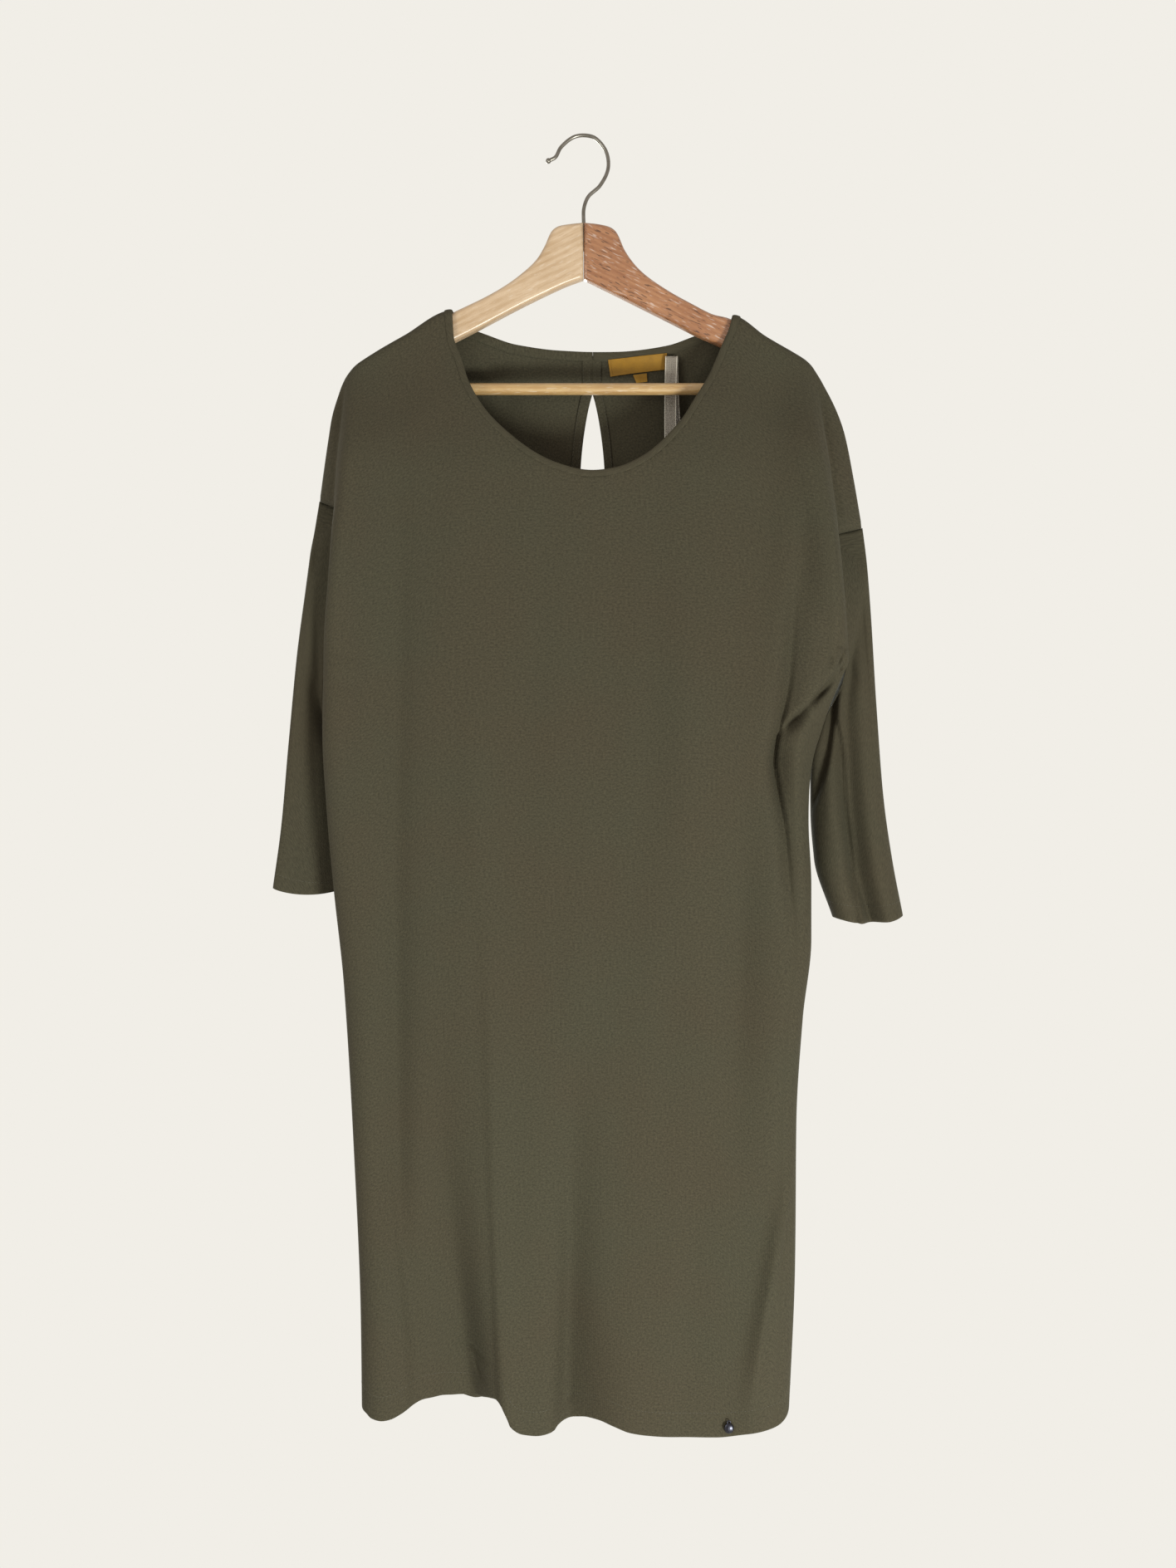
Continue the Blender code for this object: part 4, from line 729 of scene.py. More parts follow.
def sleeve(rows, hole, outward, sag, bias, which, u, v):
    """Points of a sleeve: u runs round it from its outer fold over the front, v down it."""
    at = [through(rows, column, v) for column in range(1, 10)]
    outer, inner = np.stack(at[0:3], -1), np.stack(at[3:6], -1)
    front, behind, crease = at[6:9]
    cosine, sine = np.cos(2.0 * math.pi * u), np.sin(2.0 * math.pi * u)
    point = inner + (outer - inner) * (0.5 + 0.5 * cosine)[..., None]
    near_hole = ease(1.0 - v / HOLE_REACH)
    bow = np.abs(sine) ** (1.0 + near_hole)
    share = 0.5 + 0.5 * cosine
    tucked = hole[5] * share * ease((1.0 - share) / ARMHOLE_CORNER)
    x = point[..., 0] + np.where(sine > 0.0, tucked, hole[4] * bow) * near_hole
    line = np.exp(-(((0.5 - 0.5 * cosine - CREASE_AT) / CREASE_WIDTH) ** 2))
    over = sine > 0.0
    ahead = front * bow * (1.0 + bias * cosine * (1.0 - near_hole)) - crease * line
    z = point[..., 2] - np.where(over, sag * sine * sine * ease(1.0 - (1.0 - v) / CUFF_REACH), 0.0)
    away = ease(v / SLEEVE_SEAM_REACH) * np.abs(sine) ** SLEEVE_FOLD_POWER
    dents = creases(SLEEVE_CREASES[which], x, z) + pulls(SLEEVE_PULLS[which], x, z)
    waves = SLEEVE_WAVES * unevenness(x, z, SLEEVE_SEED_LEFT if outward < 0.0 else SLEEVE_SEED_RIGHT)
    y = point[..., 1] - np.where(over, ahead - (dents + waves) * away, -behind * bow + waves * away)
    start = SLEEVE_GAP * ease(1.0 - v / GAP_REACH)
    return np.stack((x + outward * start, y, z - GAP_DOWN * start), axis=-1)


# Meshes


@contextmanager
def editing(mesh):
    """Gives a mesh's vertices and faces to edit, and writes them back."""
    shape = bmesh.new()
    shape.from_mesh(mesh)
    yield shape
    shape.to_mesh(mesh)
    shape.free()


def link(name, data):
    made = bpy.data.objects.new(name, data)
    bpy.context.scene.collection.objects.link(made)
    return made


def grid_faces(rows, columns, closed=False):
    index = np.arange(rows * columns).reshape(rows, columns)
    if closed:
        index = np.concatenate((index, index[:, :1]), axis=1)
    return np.stack((index[:-1, :-1], index[:-1, 1:], index[1:, 1:], index[1:, :-1]), -1).reshape(-1, 4)


def cloth_uv(points):
    """Places on the flat cloth, in metres: across along a middle row, and down each column."""
    across = lengths_along(points[len(points) // 3])
    steps = np.linalg.norm(np.diff(points, axis=0), axis=2)
    down = np.concatenate((np.zeros((1, points.shape[1])), np.cumsum(steps, axis=0)))
    return np.stack((np.repeat(across[None], len(points), 0), -down), -1) * MM


def mesh_from(name, vertices, faces, uv=None):
    """A smooth mesh of arrays in millimetres, with the vertices that no face uses left out."""
    used = np.unique(faces)
    renumber = np.full(len(vertices), -1)
    renumber[used] = np.arange(len(used))
    faces = renumber[faces]
    mesh = bpy.data.meshes.new(name)
    mesh.from_pydata((vertices[used] * MM).tolist(), [], faces.tolist(), shade_flat=False)
    if uv is not None:
        layer = mesh.uv_layers.new(name="cloth")
        layer.data.foreach_set("uv", uv.reshape(-1, 2)[used][faces.ravel()].astype(np.float32).ravel())
    return mesh


def shell(name, mesh, wall, finish):
    """A thin shell of cloth on a mesh of its middle surface."""
    made = link(name, mesh)
    mesh.materials.append(finish)
    solid = made.modifiers.new("wall", "SOLIDIFY")
    solid.thickness, solid.offset, solid.use_even_offset = wall, 0.0, False
    return made


def grid_shell(name, points, wall, finish):
    """A shell on a whole grid of points."""
    mesh = mesh_from(name, points.reshape(-1, 3), grid_faces(*points.shape[:2]), cloth_uv(points))
    return shell(name, mesh, wall, finish)


def settle(made, slot, *nodes):
    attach(made, "root")
    if nodes:
        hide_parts(*nodes)
    return made


def tube(name, path, radius, finish, sides, caps=True):
    """A round wire along a path of points in millimetres, with its rings kept from twisting."""
    path = np.array(path, float)
    tangent = np.gradient(path, axis=0)
    tangent /= np.linalg.norm(tangent, axis=1, keepdims=True)
    side = np.cross(tangent[0], (0.0, 1.0, 0.0))
    angle = np.linspace(0.0, 2.0 * math.pi, sides, endpoint=False)[:, None]
    rings = []
    for point, direction in zip(path, tangent):
        side = side - direction * np.dot(side, direction)
        side = side / np.linalg.norm(side)
        up = np.cross(direction, side)
        rings.append(point + radius * (np.cos(angle) * side + np.sin(angle) * up))
    mesh = mesh_from(name, np.concatenate(rings), grid_faces(len(path), sides, closed=True))
    if caps:
        with editing(mesh) as shape:
            shape.verts.ensure_lookup_table()
            count = len(path) * sides
            shape.faces.new([shape.verts[k] for k in range(sides)])
            shape.faces.new([shape.verts[k] for k in range(count - 1, count - sides - 1, -1)])
            bmesh.ops.recalc_face_normals(shape, faces=shape.faces[:])
    mesh.materials.append(finish)
    return link(name, mesh)


def ball(name, radius, matrix, finish, around, down):
    mesh = bpy.data.meshes.new(name)
    with editing(mesh) as shape:
        bmesh.ops.create_uvsphere(shape, u_segments=around, v_segments=down, radius=radius, matrix=matrix)
        for face in shape.faces:
            face.smooth = True
    mesh.materials.append(finish)
    return link(name, mesh)


def at_length(values, keys, place):
    return np.array([np.interp(place, keys, values[:, axis]) for axis in range(3)])


def stitches(name, runs, pitch, length, width, finish):
    """Sewn stitches: small capsules laid along lines, each a pair of points and directions out."""
    angles = np.linspace(0.0, 2.0 * math.pi, STITCH_SIDES, endpoint=False)
    template = [(-0.5, 0.0, 0.0)]
    for place, size in STITCH_RINGS:
        template += [(place, size * math.cos(a) * 0.5, size * math.sin(a) * 0.5) for a in angles]
    template = np.array(template + [(0.5, 0.0, 0.0)])
    tip, last_ring = len(template) - 1, len(template) - 1 - STITCH_SIDES
    template_faces = (grid_faces(len(STITCH_RINGS), STITCH_SIDES, closed=True) + 1).tolist()
    template_faces += [(0, 1 + (k + 1) % STITCH_SIDES, 1 + k) for k in range(STITCH_SIDES)]
    template_faces += [(tip, last_ring + k, last_ring + (k + 1) % STITCH_SIDES) for k in range(STITCH_SIDES)]
    vertices, faces = [], []
    for line, out in runs:
        keys = lengths_along(line)
        for start in np.arange(0.5 * pitch, keys[-1] - 0.5 * pitch, pitch):
            first, last = (at_length(line, keys, start + k * 0.5 * length) for k in (-1.0, 1.0))
            direction = last - first
            direction /= np.linalg.norm(direction)
            up = at_length(out, keys, start)
            up = up - direction * np.dot(up, direction)
            up /= np.linalg.norm(up)
            side = np.cross(direction, up)
            count = len(vertices) * len(template)
            placed = 0.5 * (first + last) + template[:, :1] * length * direction
            vertices.append(placed + template[:, 1:2] * width * side + template[:, 2:3] * width * up)
            faces += [[k + count for k in face] for face in template_faces]
    mesh = bpy.data.meshes.new(name)
    mesh.from_pydata((np.concatenate(vertices) * MM).tolist(), [], faces, shade_flat=False)
    mesh.materials.append(finish)
    return link(name, mesh)


# Colours and materials


def linear(code):
    """The scene-linear colour of an sRGB hex value."""
    parts = [int(code[k : k + 2], 16) / 255.0 for k in (1, 3, 5)]
    return tuple(c / 12.92 if c <= 0.04045 else ((c + 0.055) / 1.055) ** 2.4 for c in parts)


def rgba(colour):
    return (*colour, 1.0)


def set_inputs(node, values=None, links=None):
    for key, value in (values or {}).items():
        node.inputs[key].default_value = value
    for key, socket in (links or {}).items():
        node.id_data.links.new(socket, node.inputs[key])


def add_node(tree, kind, values=None, links=None, **settings):
    """Adds one node with its settings, its input values and the sockets linked into it."""
    node = tree.nodes.new("ShaderNode" + kind)
    for name, value in settings.items():
        setattr(node, name, value)
    set_inputs(node, values, links)
    return node


def new_material(name):
    """A material with its node tree, its shader and the place on the object in metres."""
    made = bpy.data.materials.new(name)
    made.use_nodes = True
    tree = made.node_tree
    return made, tree, tree.nodes["Principled BSDF"], add_node(tree, "TexCoord").outputs["Object"]


def bands(width):
    """The scale of a wave texture whose bands are a width in metres apart."""
    return 2.0 * math.pi / 20.0 / width


def viscose_jersey(settings):
    """Viscose single jersey, weft knitted: matt, with fine wales and a slightly heathered dye."""
    made, tree, shader, place = new_material("viscose_jersey")
    flat = add_node(tree, "UVMap", uv_map="cloth").outputs[0]
    # A wale is really about 0.7 mm wide; 1.5 mm is the finest that the picture can show.
    wales = add_node(
        tree, "TexWave",
        {"Scale": bands(settings.wale_width), "Distortion": 0.6, "Detail": 1.0, "Detail Scale": 3.0},
        {"Vector": flat}, bands_direction="X").outputs["Fac"]
    # Short flecks of the yarn along the courses, and slow drifts of the dye over a hand's breadth.
    courses = add_node(tree, "Mapping", {"Scale": (420.0, 620.0, 1.0)}, {"Vector": flat}).outputs[0]
    grain = add_node(tree, "TexNoise", {"Scale": 1.0, "Detail": 2.0, "Roughness": 0.7},
                     {"Vector": courses}).outputs["Fac"]
    drift = add_node(tree, "TexNoise", {"Scale": 9.0, "Detail": 3.0, "Roughness": 0.55},
                     {"Vector": place}).outputs["Fac"]
    greener = add_node(tree, "MapRange", {"From Min": 0.35, "From Max": 0.65}, {"Value": drift}).outputs[0]
    dyed = add_node(tree, "Mix", {6: rgba(settings.jersey), 7: rgba(settings.jersey_green)}, {0: greener},
                    data_type="RGBA").outputs[2]
    speck = add_node(tree, "MapRange", {"From Min": 0.3, "From Max": 0.7, "To Min": 0.7, "To Max": 1.3},
                     {"Value": grain}).outputs[0]
    shaded = add_node(tree, "VectorMath", None, {0: dyed, 1: speck}, operation="MULTIPLY").outputs[0]
    relief = add_node(tree, "Math", None, {0: wales, 1: grain}, operation="MULTIPLY").outputs[0]
    bump = add_node(tree, "Bump", {"Strength": 0.35, "Distance": 0.0004}, {"Height": relief}).outputs[0]
    set_inputs(shader, {"Roughness": 0.88, "Specular IOR Level": 0.15, "Sheen Weight": 0.1,
                        "Sheen Roughness": 0.5, "Sheen Tint": rgba(settings.jersey_sheen)},
               {"Base Color": shaded, "Normal": bump})
    return made


def sewing_thread(settings):
    """Spun polyester sewing thread, dyed to the cloth: it catches a little more light than jersey."""
    made, tree, shader, place = new_material("sewing_thread")
    ply = add_node(tree, "TexNoise", {"Scale": 1500.0, "Detail": 1.0}, {"Vector": place}).outputs["Fac"]
    mixed = add_node(tree, "Mix", {6: rgba(settings.jersey), 7: rgba(settings.thread)}, {0: ply},
                     data_type="RGBA").outputs[2]
    set_inputs(shader, {"Roughness": 0.6}, {"Base Color": mixed})
    return made


def satin_label(settings):
    """Woven polyester satin tape: a fine rib across, with a soft shine."""
    made, tree, shader, place = new_material("satin_label")
    # Picks are really about 0.25 mm apart; 0.8 mm shows.
    picks, ends = (
        add_node(tree, "TexWave", {"Scale": scale, "Distortion": 0.8, "Detail": 1.0}, {"Vector": place},
                 bands_direction=direction).outputs["Fac"]
        for scale, direction in ((390.0, "Z"), (420.0, "X"))
    )
    weave = add_node(tree, "Math", None, {0: picks, 1: ends}, operation="MULTIPLY").outputs[0]
    wear = add_node(tree, "TexNoise", {"Scale": 120.0, "Detail": 3.0}, {"Vector": place}).outputs["Fac"]
    both = add_node(tree, "Math", None, {0: weave, 1: wear}, operation="ADD").outputs[0]
    share = add_node(tree, "MapRange", {"From Min": 0.3, "From Max": 1.3}, {"Value": both}).outputs[0]
    # Painted shade: the darker mustard goes between the threads, where the weave's bump is low, with random
    # tone from the wear noise.
    mixed = add_node(tree, "Mix", {6: rgba(settings.label_thread_shade), 7: rgba(settings.label)}, {0: share},
                     data_type="RGBA").outputs[2]
    bump = add_node(tree, "Bump", {"Strength": 0.5, "Distance": 0.0002}, {"Height": weave}).outputs[0]
    set_inputs(shader, {"Roughness": 0.5, "Specular IOR Level": 0.22, "Sheen Weight": 0.05},
               {"Base Color": mixed, "Normal": bump})
    return made


def sheer_organza(name, colour, cover):
    """Nylon organza: stiff clear filaments with gaps between them, so that it half hides what is behind."""
    made, tree, shader, place = new_material(name)
    # Filaments are really about 0.3 mm apart; 1.2 mm shows.
    threads, across = (
        add_node(tree, "TexWave", {"Scale": 260.0, "Distortion": 0.4}, {"Vector": place},
                 bands_direction=direction).outputs["Fac"]
        for direction in "XZ"
    )
    net = add_node(tree, "Math", None, {0: threads, 1: across}, operation="MAXIMUM").outputs[0]
    alpha = add_node(tree, "MapRange", {"To Min": cover - 0.12, "To Max": cover + 0.12},
                     {"Value": net}).outputs[0]
    # Painted shine: the filaments are painted in the full colour and the gaps between them a fifth darker.
    painted_shine = add_node(tree, "Mix", {6: rgba([c * 0.8 for c in colour]), 7: rgba(colour)}, {0: net},
                     data_type="RGBA").outputs[2]
    set_inputs(shader, {"Roughness": 0.35}, {"Base Color": painted_shine, "Alpha": alpha})
    return made


def plated_metal(name, bright, dull, scale, detail, smoothest, roughest):
    """Nickel over another metal. Fine marks dull it in places, in its colour and in its shine."""
    made, tree, shader, place = new_material(name)
    marks = add_node(tree, "TexNoise", {"Scale": scale, "Detail": detail}, {"Vector": place}).outputs["Fac"]
    mixed = add_node(tree, "Mix", {6: rgba(bright), 7: rgba(dull)}, {0: marks}, data_type="RGBA").outputs[2]
    rough = add_node(tree, "MapRange", {"To Min": smoothest, "To Max": roughest}, {"Value": marks}).outputs[0]
    set_inputs(shader, {"Metallic": 1.0}, {"Base Color": mixed, "Roughness": rough})
    return made


def black_nickel(settings):
    """Black-nickel plated zinc: a dark mirror, dulled by handling."""
    return plated_metal("black_nickel", settings.bead, settings.bead_worn, scale=500.0, detail=3.0,
                        smoothest=0.2, roughest=0.45)


def nickel_wire(settings):
    """Nickel-plated steel wire: bright, with fine drawing marks that soften its shine."""
    return plated_metal("nickel_wire", settings.wire, settings.wire_dull, scale=260.0, detail=2.0,
                        smoothest=0.26, roughest=0.4)


def lacquered_wood(name, tilt, grain_width, pale, dark, pore, pore_share, roughness, coat):
    """Wood planed and lacquered. Tilt turns the grain to run along the piece, grain_width is that of a
    growth ring, and the pores are short dark lines along the grain that the lacquer has not filled."""
    made, tree, shader, place = new_material(name)
    turned = add_node(tree, "Mapping", {"Rotation": (0.0, tilt, 0.0)}, {"Vector": place}).outputs[0]
    # Rings, figure and pores are all stretched along the grain.
    ring_space, figure_space, pore_space = (
        add_node(tree, "Mapping", {"Scale": scale}, {"Vector": turned}).outputs[0]
        for scale in ((0.06, 1.0, 1.0), (60.0, 260.0, 420.0), (110.0, 800.0, 700.0))
    )
    rings = add_node(
        tree, "TexWave",
        {"Scale": bands(grain_width), "Distortion": 3.0, "Detail": 3.0, "Detail Scale": 12.0},
        {"Vector": ring_space}, bands_direction="Z").outputs["Fac"]
    figure = add_node(tree, "TexNoise", {"Scale": 1.0, "Detail": 4.0, "Roughness": 0.6},
                      {"Vector": figure_space}).outputs["Fac"]
    cloud = add_node(tree, "TexNoise", {"Scale": 22.0, "Detail": 2.0}, {"Vector": turned}).outputs["Fac"]
    pores = add_node(tree, "TexNoise", {"Scale": 1.0, "Detail": 1.0, "Roughness": 0.5},
                     {"Vector": pore_space}).outputs["Fac"]
    total = add_node(tree, "Math", {1: 0.22}, {0: rings}, operation="MULTIPLY").outputs[0]
    for share, part in ((0.62, figure), (0.5, cloud)):
        total = add_node(tree, "Math", {1: share}, {0: part, 2: total}, operation="MULTIPLY_ADD").outputs[0]
    tone = add_node(tree, "MapRange", {"From Min": 0.4, "From Max": 0.95}, {"Value": total}).outputs[0]
    wood = add_node(tree, "Mix", {6: rgba(pale), 7: rgba(dark)}, {0: tone}, data_type="RGBA").outputs[2]
    # The darkest of the noise is open pores, and the lightest is painted glints: pale flecks that stand in
    # for the lacquer's glare.
    open_pore, painted_glint = (
        add_node(tree, "MapRange", {"From Min": start, "From Max": end, "To Min": 0.0, "To Max": most},
                 {"Value": pores}).outputs[0]
        for start, end, most in ((0.38, 0.32, pore_share), (0.62, 0.72, 0.5 * pore_share))
    )
    pored = add_node(tree, "Mix", {7: rgba(pore)}, {0: open_pore, 6: wood}, data_type="RGBA").outputs[2]
    # Painted highlight: the pale flecks are glints of the lacquer painted into the wood's colour.
    with_painted_glints = add_node(tree, "Mix", {7: rgba([0.4 + 0.5 * c for c in pale])}, {0: painted_glint, 6: pored},
                       data_type="RGBA").outputs[2]
    bump = add_node(tree, "Bump", {"Strength": 0.35, "Distance": 0.0004}, {"Height": open_pore},
                    invert=True).outputs[0]
    set_inputs(shader, {"Roughness": roughness, "Coat Weight": coat, "Coat Roughness": 0.16, "Coat IOR": 1.5},
               {"Base Color": with_painted_glints, "Normal": bump})
    return made


def material_named(name, make, settings):
    """A material that several pieces share, made the first time."""
    return bpy.data.materials.get(name) or make(settings)


# Sizes and colours that a user would change


def length_setting(name, description, millimetres):
    return FloatProperty(name=name, description=description, default=millimetres * MM, min=0.0, unit="LENGTH",
                         precision=5)


def count_setting(name, description, count, least):
    return IntProperty(name=name, description=description, default=count, min=least)


def colour_setting(name, description, code):
    return FloatVectorProperty(name=name, description=description, default=linear(code), size=3,
                               subtype="COLOR", min=0.0, max=1.0)


class ClothSettings(PropertyGroup):
    wall: length_setting("Cloth", "Thickness of the jersey", 0.9)
    columns: count_setting("Columns", "Columns of the front's grid", 196, 40)
    rows: count_setting("Rows", "Rows of the front's and the back's grids", 236, 60)
    sleeve_columns: count_setting("Sleeve columns", "Columns round a sleeve", 104, 24)
    sleeve_rows: count_setting("Sleeve rows", "Rows down a sleeve", 112, 20)
    hem_gap: length_setting("Hem fold", "From the cloth to the layer turned up inside it", 1.5)
    wale_width: length_setting("Wale", "Width of a rib of the knit, as drawn", 1.5)
    pitch: length_setting("Stitch pitch", "From one stitch to the next", 3.0)
    stitch: length_setting("Stitch length", "Length of a stitch that shows", 2.2)
    thread_width: length_setting("Thread", "Width of the sewing thread", 0.45)
    jersey: colour_setting("Jersey", "Olive of the cloth, on its brown side", "#373125")
    jersey_green: colour_setting("Jersey, green", "Olive of the cloth, on its green side", "#363226")
    jersey_sheen: colour_setting("Nap", "Colour of the light along the cloth's nap", "#8A8570")
    thread: colour_setting("Thread colour", "Colour of the sewing thread", "#403B2D")


class TrimSettings(PropertyGroup):
    label_wall: length_setting("Label tape", "Thickness of the folded label", 0.6)
    label_clear: length_setting("Label clear", "From the back's cloth to the label", 2.1)
    ribbon_width: length_setting("Ribbon", "Width of the hanging loop's ribbon", 10.0)
    label: colour_setting("Label", "Mustard of the label", "#8C6413")
    # Painted shade: the mustard darkened between the label's threads.
    label_thread_shade: colour_setting("Label, shaded", "Mustard between the threads", "#6A4A0E")
    ribbon: colour_setting("Ribbon colour", "Grey of the sheer ribbon", "#8C8276")
    ribbon_edge: colour_setting("Ribbon edge", "Pale woven edges of the ribbon", "#CDC4B6")
    bead: colour_setting("Bead", "Black nickel", "#26252B")
    bead_worn: colour_setting("Bead, worn", "Black nickel where it is rubbed", "#47464E")


class HangerSettings(PropertyGroup):
    thickness: length_setting("Arm", "Thickness of the hanger's arms", ARM_THICKNESS)
    edge: length_setting("Arm edge", "Radius of the arms' rounded edges", ARM_EDGE)
    maple_ring: length_setting("Maple ring", "Width of a growth ring in the maple", 6.0)
    mahogany_ring: length_setting("Mahogany ring", "Width of a growth ring in the mahogany", 5.0)
    beech_ring: length_setting("Beech ring", "Width of a growth ring in the bar", 4.0)
    maple: colour_setting("Maple", "Pale maple", "#B2997F")
    maple_dark: colour_setting("Maple, late wood", "Darker lines of the maple", "#9A7D5E")
    mahogany: colour_setting("Mahogany", "Reddish brown wood", "#956746")
    mahogany_dark: colour_setting("Mahogany, late wood", "Darker lines of the mahogany", "#75472A")
    beech: colour_setting("Beech", "Trouser bar", "#A98A5C")
    beech_dark: colour_setting("Beech, late wood", "Darker lines of the bar", "#8F6C42")
    pore: colour_setting("Pores", "Open pores of the mahogany", "#3E2110")
    wire: colour_setting("Nickel", "Bright wire", "#8A847C")
    wire_dull: colour_setting("Nickel, dull", "Wire where it is rubbed", "#5E5850")


class StageSettings(PropertyGroup):
    ground: colour_setting("Ground", "Pale studio ground", "#F1EEE7")
    floor_z: FloatProperty(name="Floor", description="Height of the floor from the hook", default=-1.9,
                           unit="LENGTH")
    sky: FloatProperty(name="Ambient light", description="Strength of the light from all round", default=1.0,
                       min=0.0)
    key: FloatProperty(name="Key light", description="Power of the key lamp, which the others are shares of",
                       default=57.0, unit="POWER")
    light: colour_setting("Light colour", "Colour of the lamps, slightly cool", "#F6FFFA")
    lens: FloatProperty(name="Lens", description="Focal length of the camera in millimetres", default=32.0,
                        min=10.0)


# Operators


def cloth_of(context):
    return context.scene.jersey_cloth


def jersey_of(context):
    return material_named("viscose_jersey", viscose_jersey, cloth_of(context))


def sew(name, runs, context):
    """Stitches in the dress's own thread along some lines."""
    cloth = cloth_of(context)
    thread = material_named("sewing_thread", sewing_thread, cloth)
    return settle(stitches(name, runs, cloth.pitch / MM, cloth.stitch / MM, cloth.thread_width / MM, thread),
                  "jersey")


def edge_turned(points, facing, columns, depth):
    """Adds columns behind the first ones, as an edge turned to the inside."""
    out = normals(points, facing)
    fold = points[:, :1] - out[:, :1] * 0.5 * depth - (points[:, 1:2] - points[:, :1]) * FOLD_PAST_EDGE
    inside = points[:, 1:columns] - out[:, 1:columns] * depth
    return np.concatenate((inside[:, ::-1], fold, points), axis=1)


def panel(name, points, facing, back, context, edge_columns=0):
    """One panel of the body as a shell: its hem and perhaps its edge turned, and the neck cut out of it."""
    cloth = cloth_of(context)
    gap = cloth.hem_gap / MM
    turned = hem_turned(points, normals(points, facing), HEM_TURN_ROWS, gap, FOLD_PAST_HEM)
    if edge_columns:
        turned = edge_turned(turned, facing, edge_columns, gap * EDGE_GAP_SHARE)
    flat, faces = open_neck(back, turned, grid_faces(*turned.shape[:2]))
    return shell(name, mesh_from(name, flat, faces, cloth_uv(turned)), cloth.wall, jersey_of(context))


def dip_seams(points, u, drop):
    """Draws the cloth in a little along the side seams and the shoulder seam, where it is sewn."""
    side = np.minimum(u, 1.0 - u)[None] * PANEL_WIDTH
    moved = points.copy()
    moved[..., 0] += SIDE_DIP * np.exp(-((side / SIDE_DIP_REACH) ** 2)) * np.where(u < 0.5, 1.0, -1.0)[None]
    moved[..., 2] -= SHOULDER_DIP * np.exp(-((length_at(drop) / SEAM_DIP_REACH) ** 2))
    return moved


class DRESS_OT_front(Operator):
    """The one-piece front, with its side folds, its turned hem and the stitches along it"""

    bl_idname = "dress.front"
    bl_label = "Front"

    def execute(self, context):
        cloth = cloth_of(context)
        u = spread(cloth.columns + 1, CROWDED_COLUMNS)
        drop = cloth_rows(False, u, cloth.rows)
        points = dip_seams(body(False, np.repeat(u[None], len(drop), 0), drop), u, drop)
        front = panel("dress_front", points, -1.0, False, context)
        settle(front, "jersey", "front")
        out = normals(points, -1.0)[HEM_STITCH_ROW]
        line = sew("dress_front_hem_stitches", [(points[HEM_STITCH_ROW] + out * STITCH_LIFT, out)], context)
        return {"FINISHED"}


class DRESS_OT_backs(Operator):
    """The back in two halves, sewn down the centre with an open slit whose edges are turned and stitched"""

    bl_idname = "dress.backs"
    bl_label = "Back halves"

    def execute(self, context):
        cloth = cloth_of(context)
        centre = centre_back_share()
        rest = np.linspace(CENTRE_COLUMNS[-1], 1.0, cloth.columns // 2 - 2)[1:]
        half_u = np.concatenate((CENTRE_COLUMNS, rest))
        for name, side in (("left", -1.0), ("right", 1.0)):
            u = centre * (1.0 - half_u) if side < 0 else centre + (1.0 - centre) * half_u
            drop = cloth_rows(True, u, cloth.rows)
            points = body(True, np.repeat(u[None], len(drop), 0), drop)
            seam_x = body(True, np.full((len(drop), 1), centre), drop[:, :1])[..., 0]
            near = 1.0 - ease(half_u / CENTRE_REACH)
            opening = slit_half(points[..., 2]) + HALF_SEAM_GAP
            points[..., 0] += (CENTRE_BACK_X - seam_x) * near + side * opening * (1.0 - half_u) ** SLIT_FADE
            points = dip_seams(points, u, drop)
            closed = slit_half(points[:, :1, 2]) < 0.5
            from_seam = (half_u * HALF_BACK_WIDTH) / SEAM_DIP_REACH
            points[..., 1] -= CENTRE_DIP * closed * np.exp(-(from_seam**2))
            back = panel("dress_back_" + name, points, side, True, context, len(CENTRE_COLUMNS) - 1)
            settle(back, "jersey", "back_" + name)
            out = normals(points, side)
            inner = cloth.hem_gap / MM * EDGE_GAP_SHARE + EDGE_STITCH_LIFT
            rows = points[:, 0, 2] < SLIT_STITCH_TOP
            runs = [(points[HEM_STITCH_ROW] + out[HEM_STITCH_ROW] * STITCH_LIFT, out[HEM_STITCH_ROW])]
            for column in SLIT_STITCH_COLUMNS:
                line, away = points[rows, column], out[rows, column]
                runs += [(line - away * inner, -away), (line + away * STITCH_LIFT, away)]
            sewn = sew("dress_back_%s_stitches" % name, runs, context)
        return {"FINISHED"}


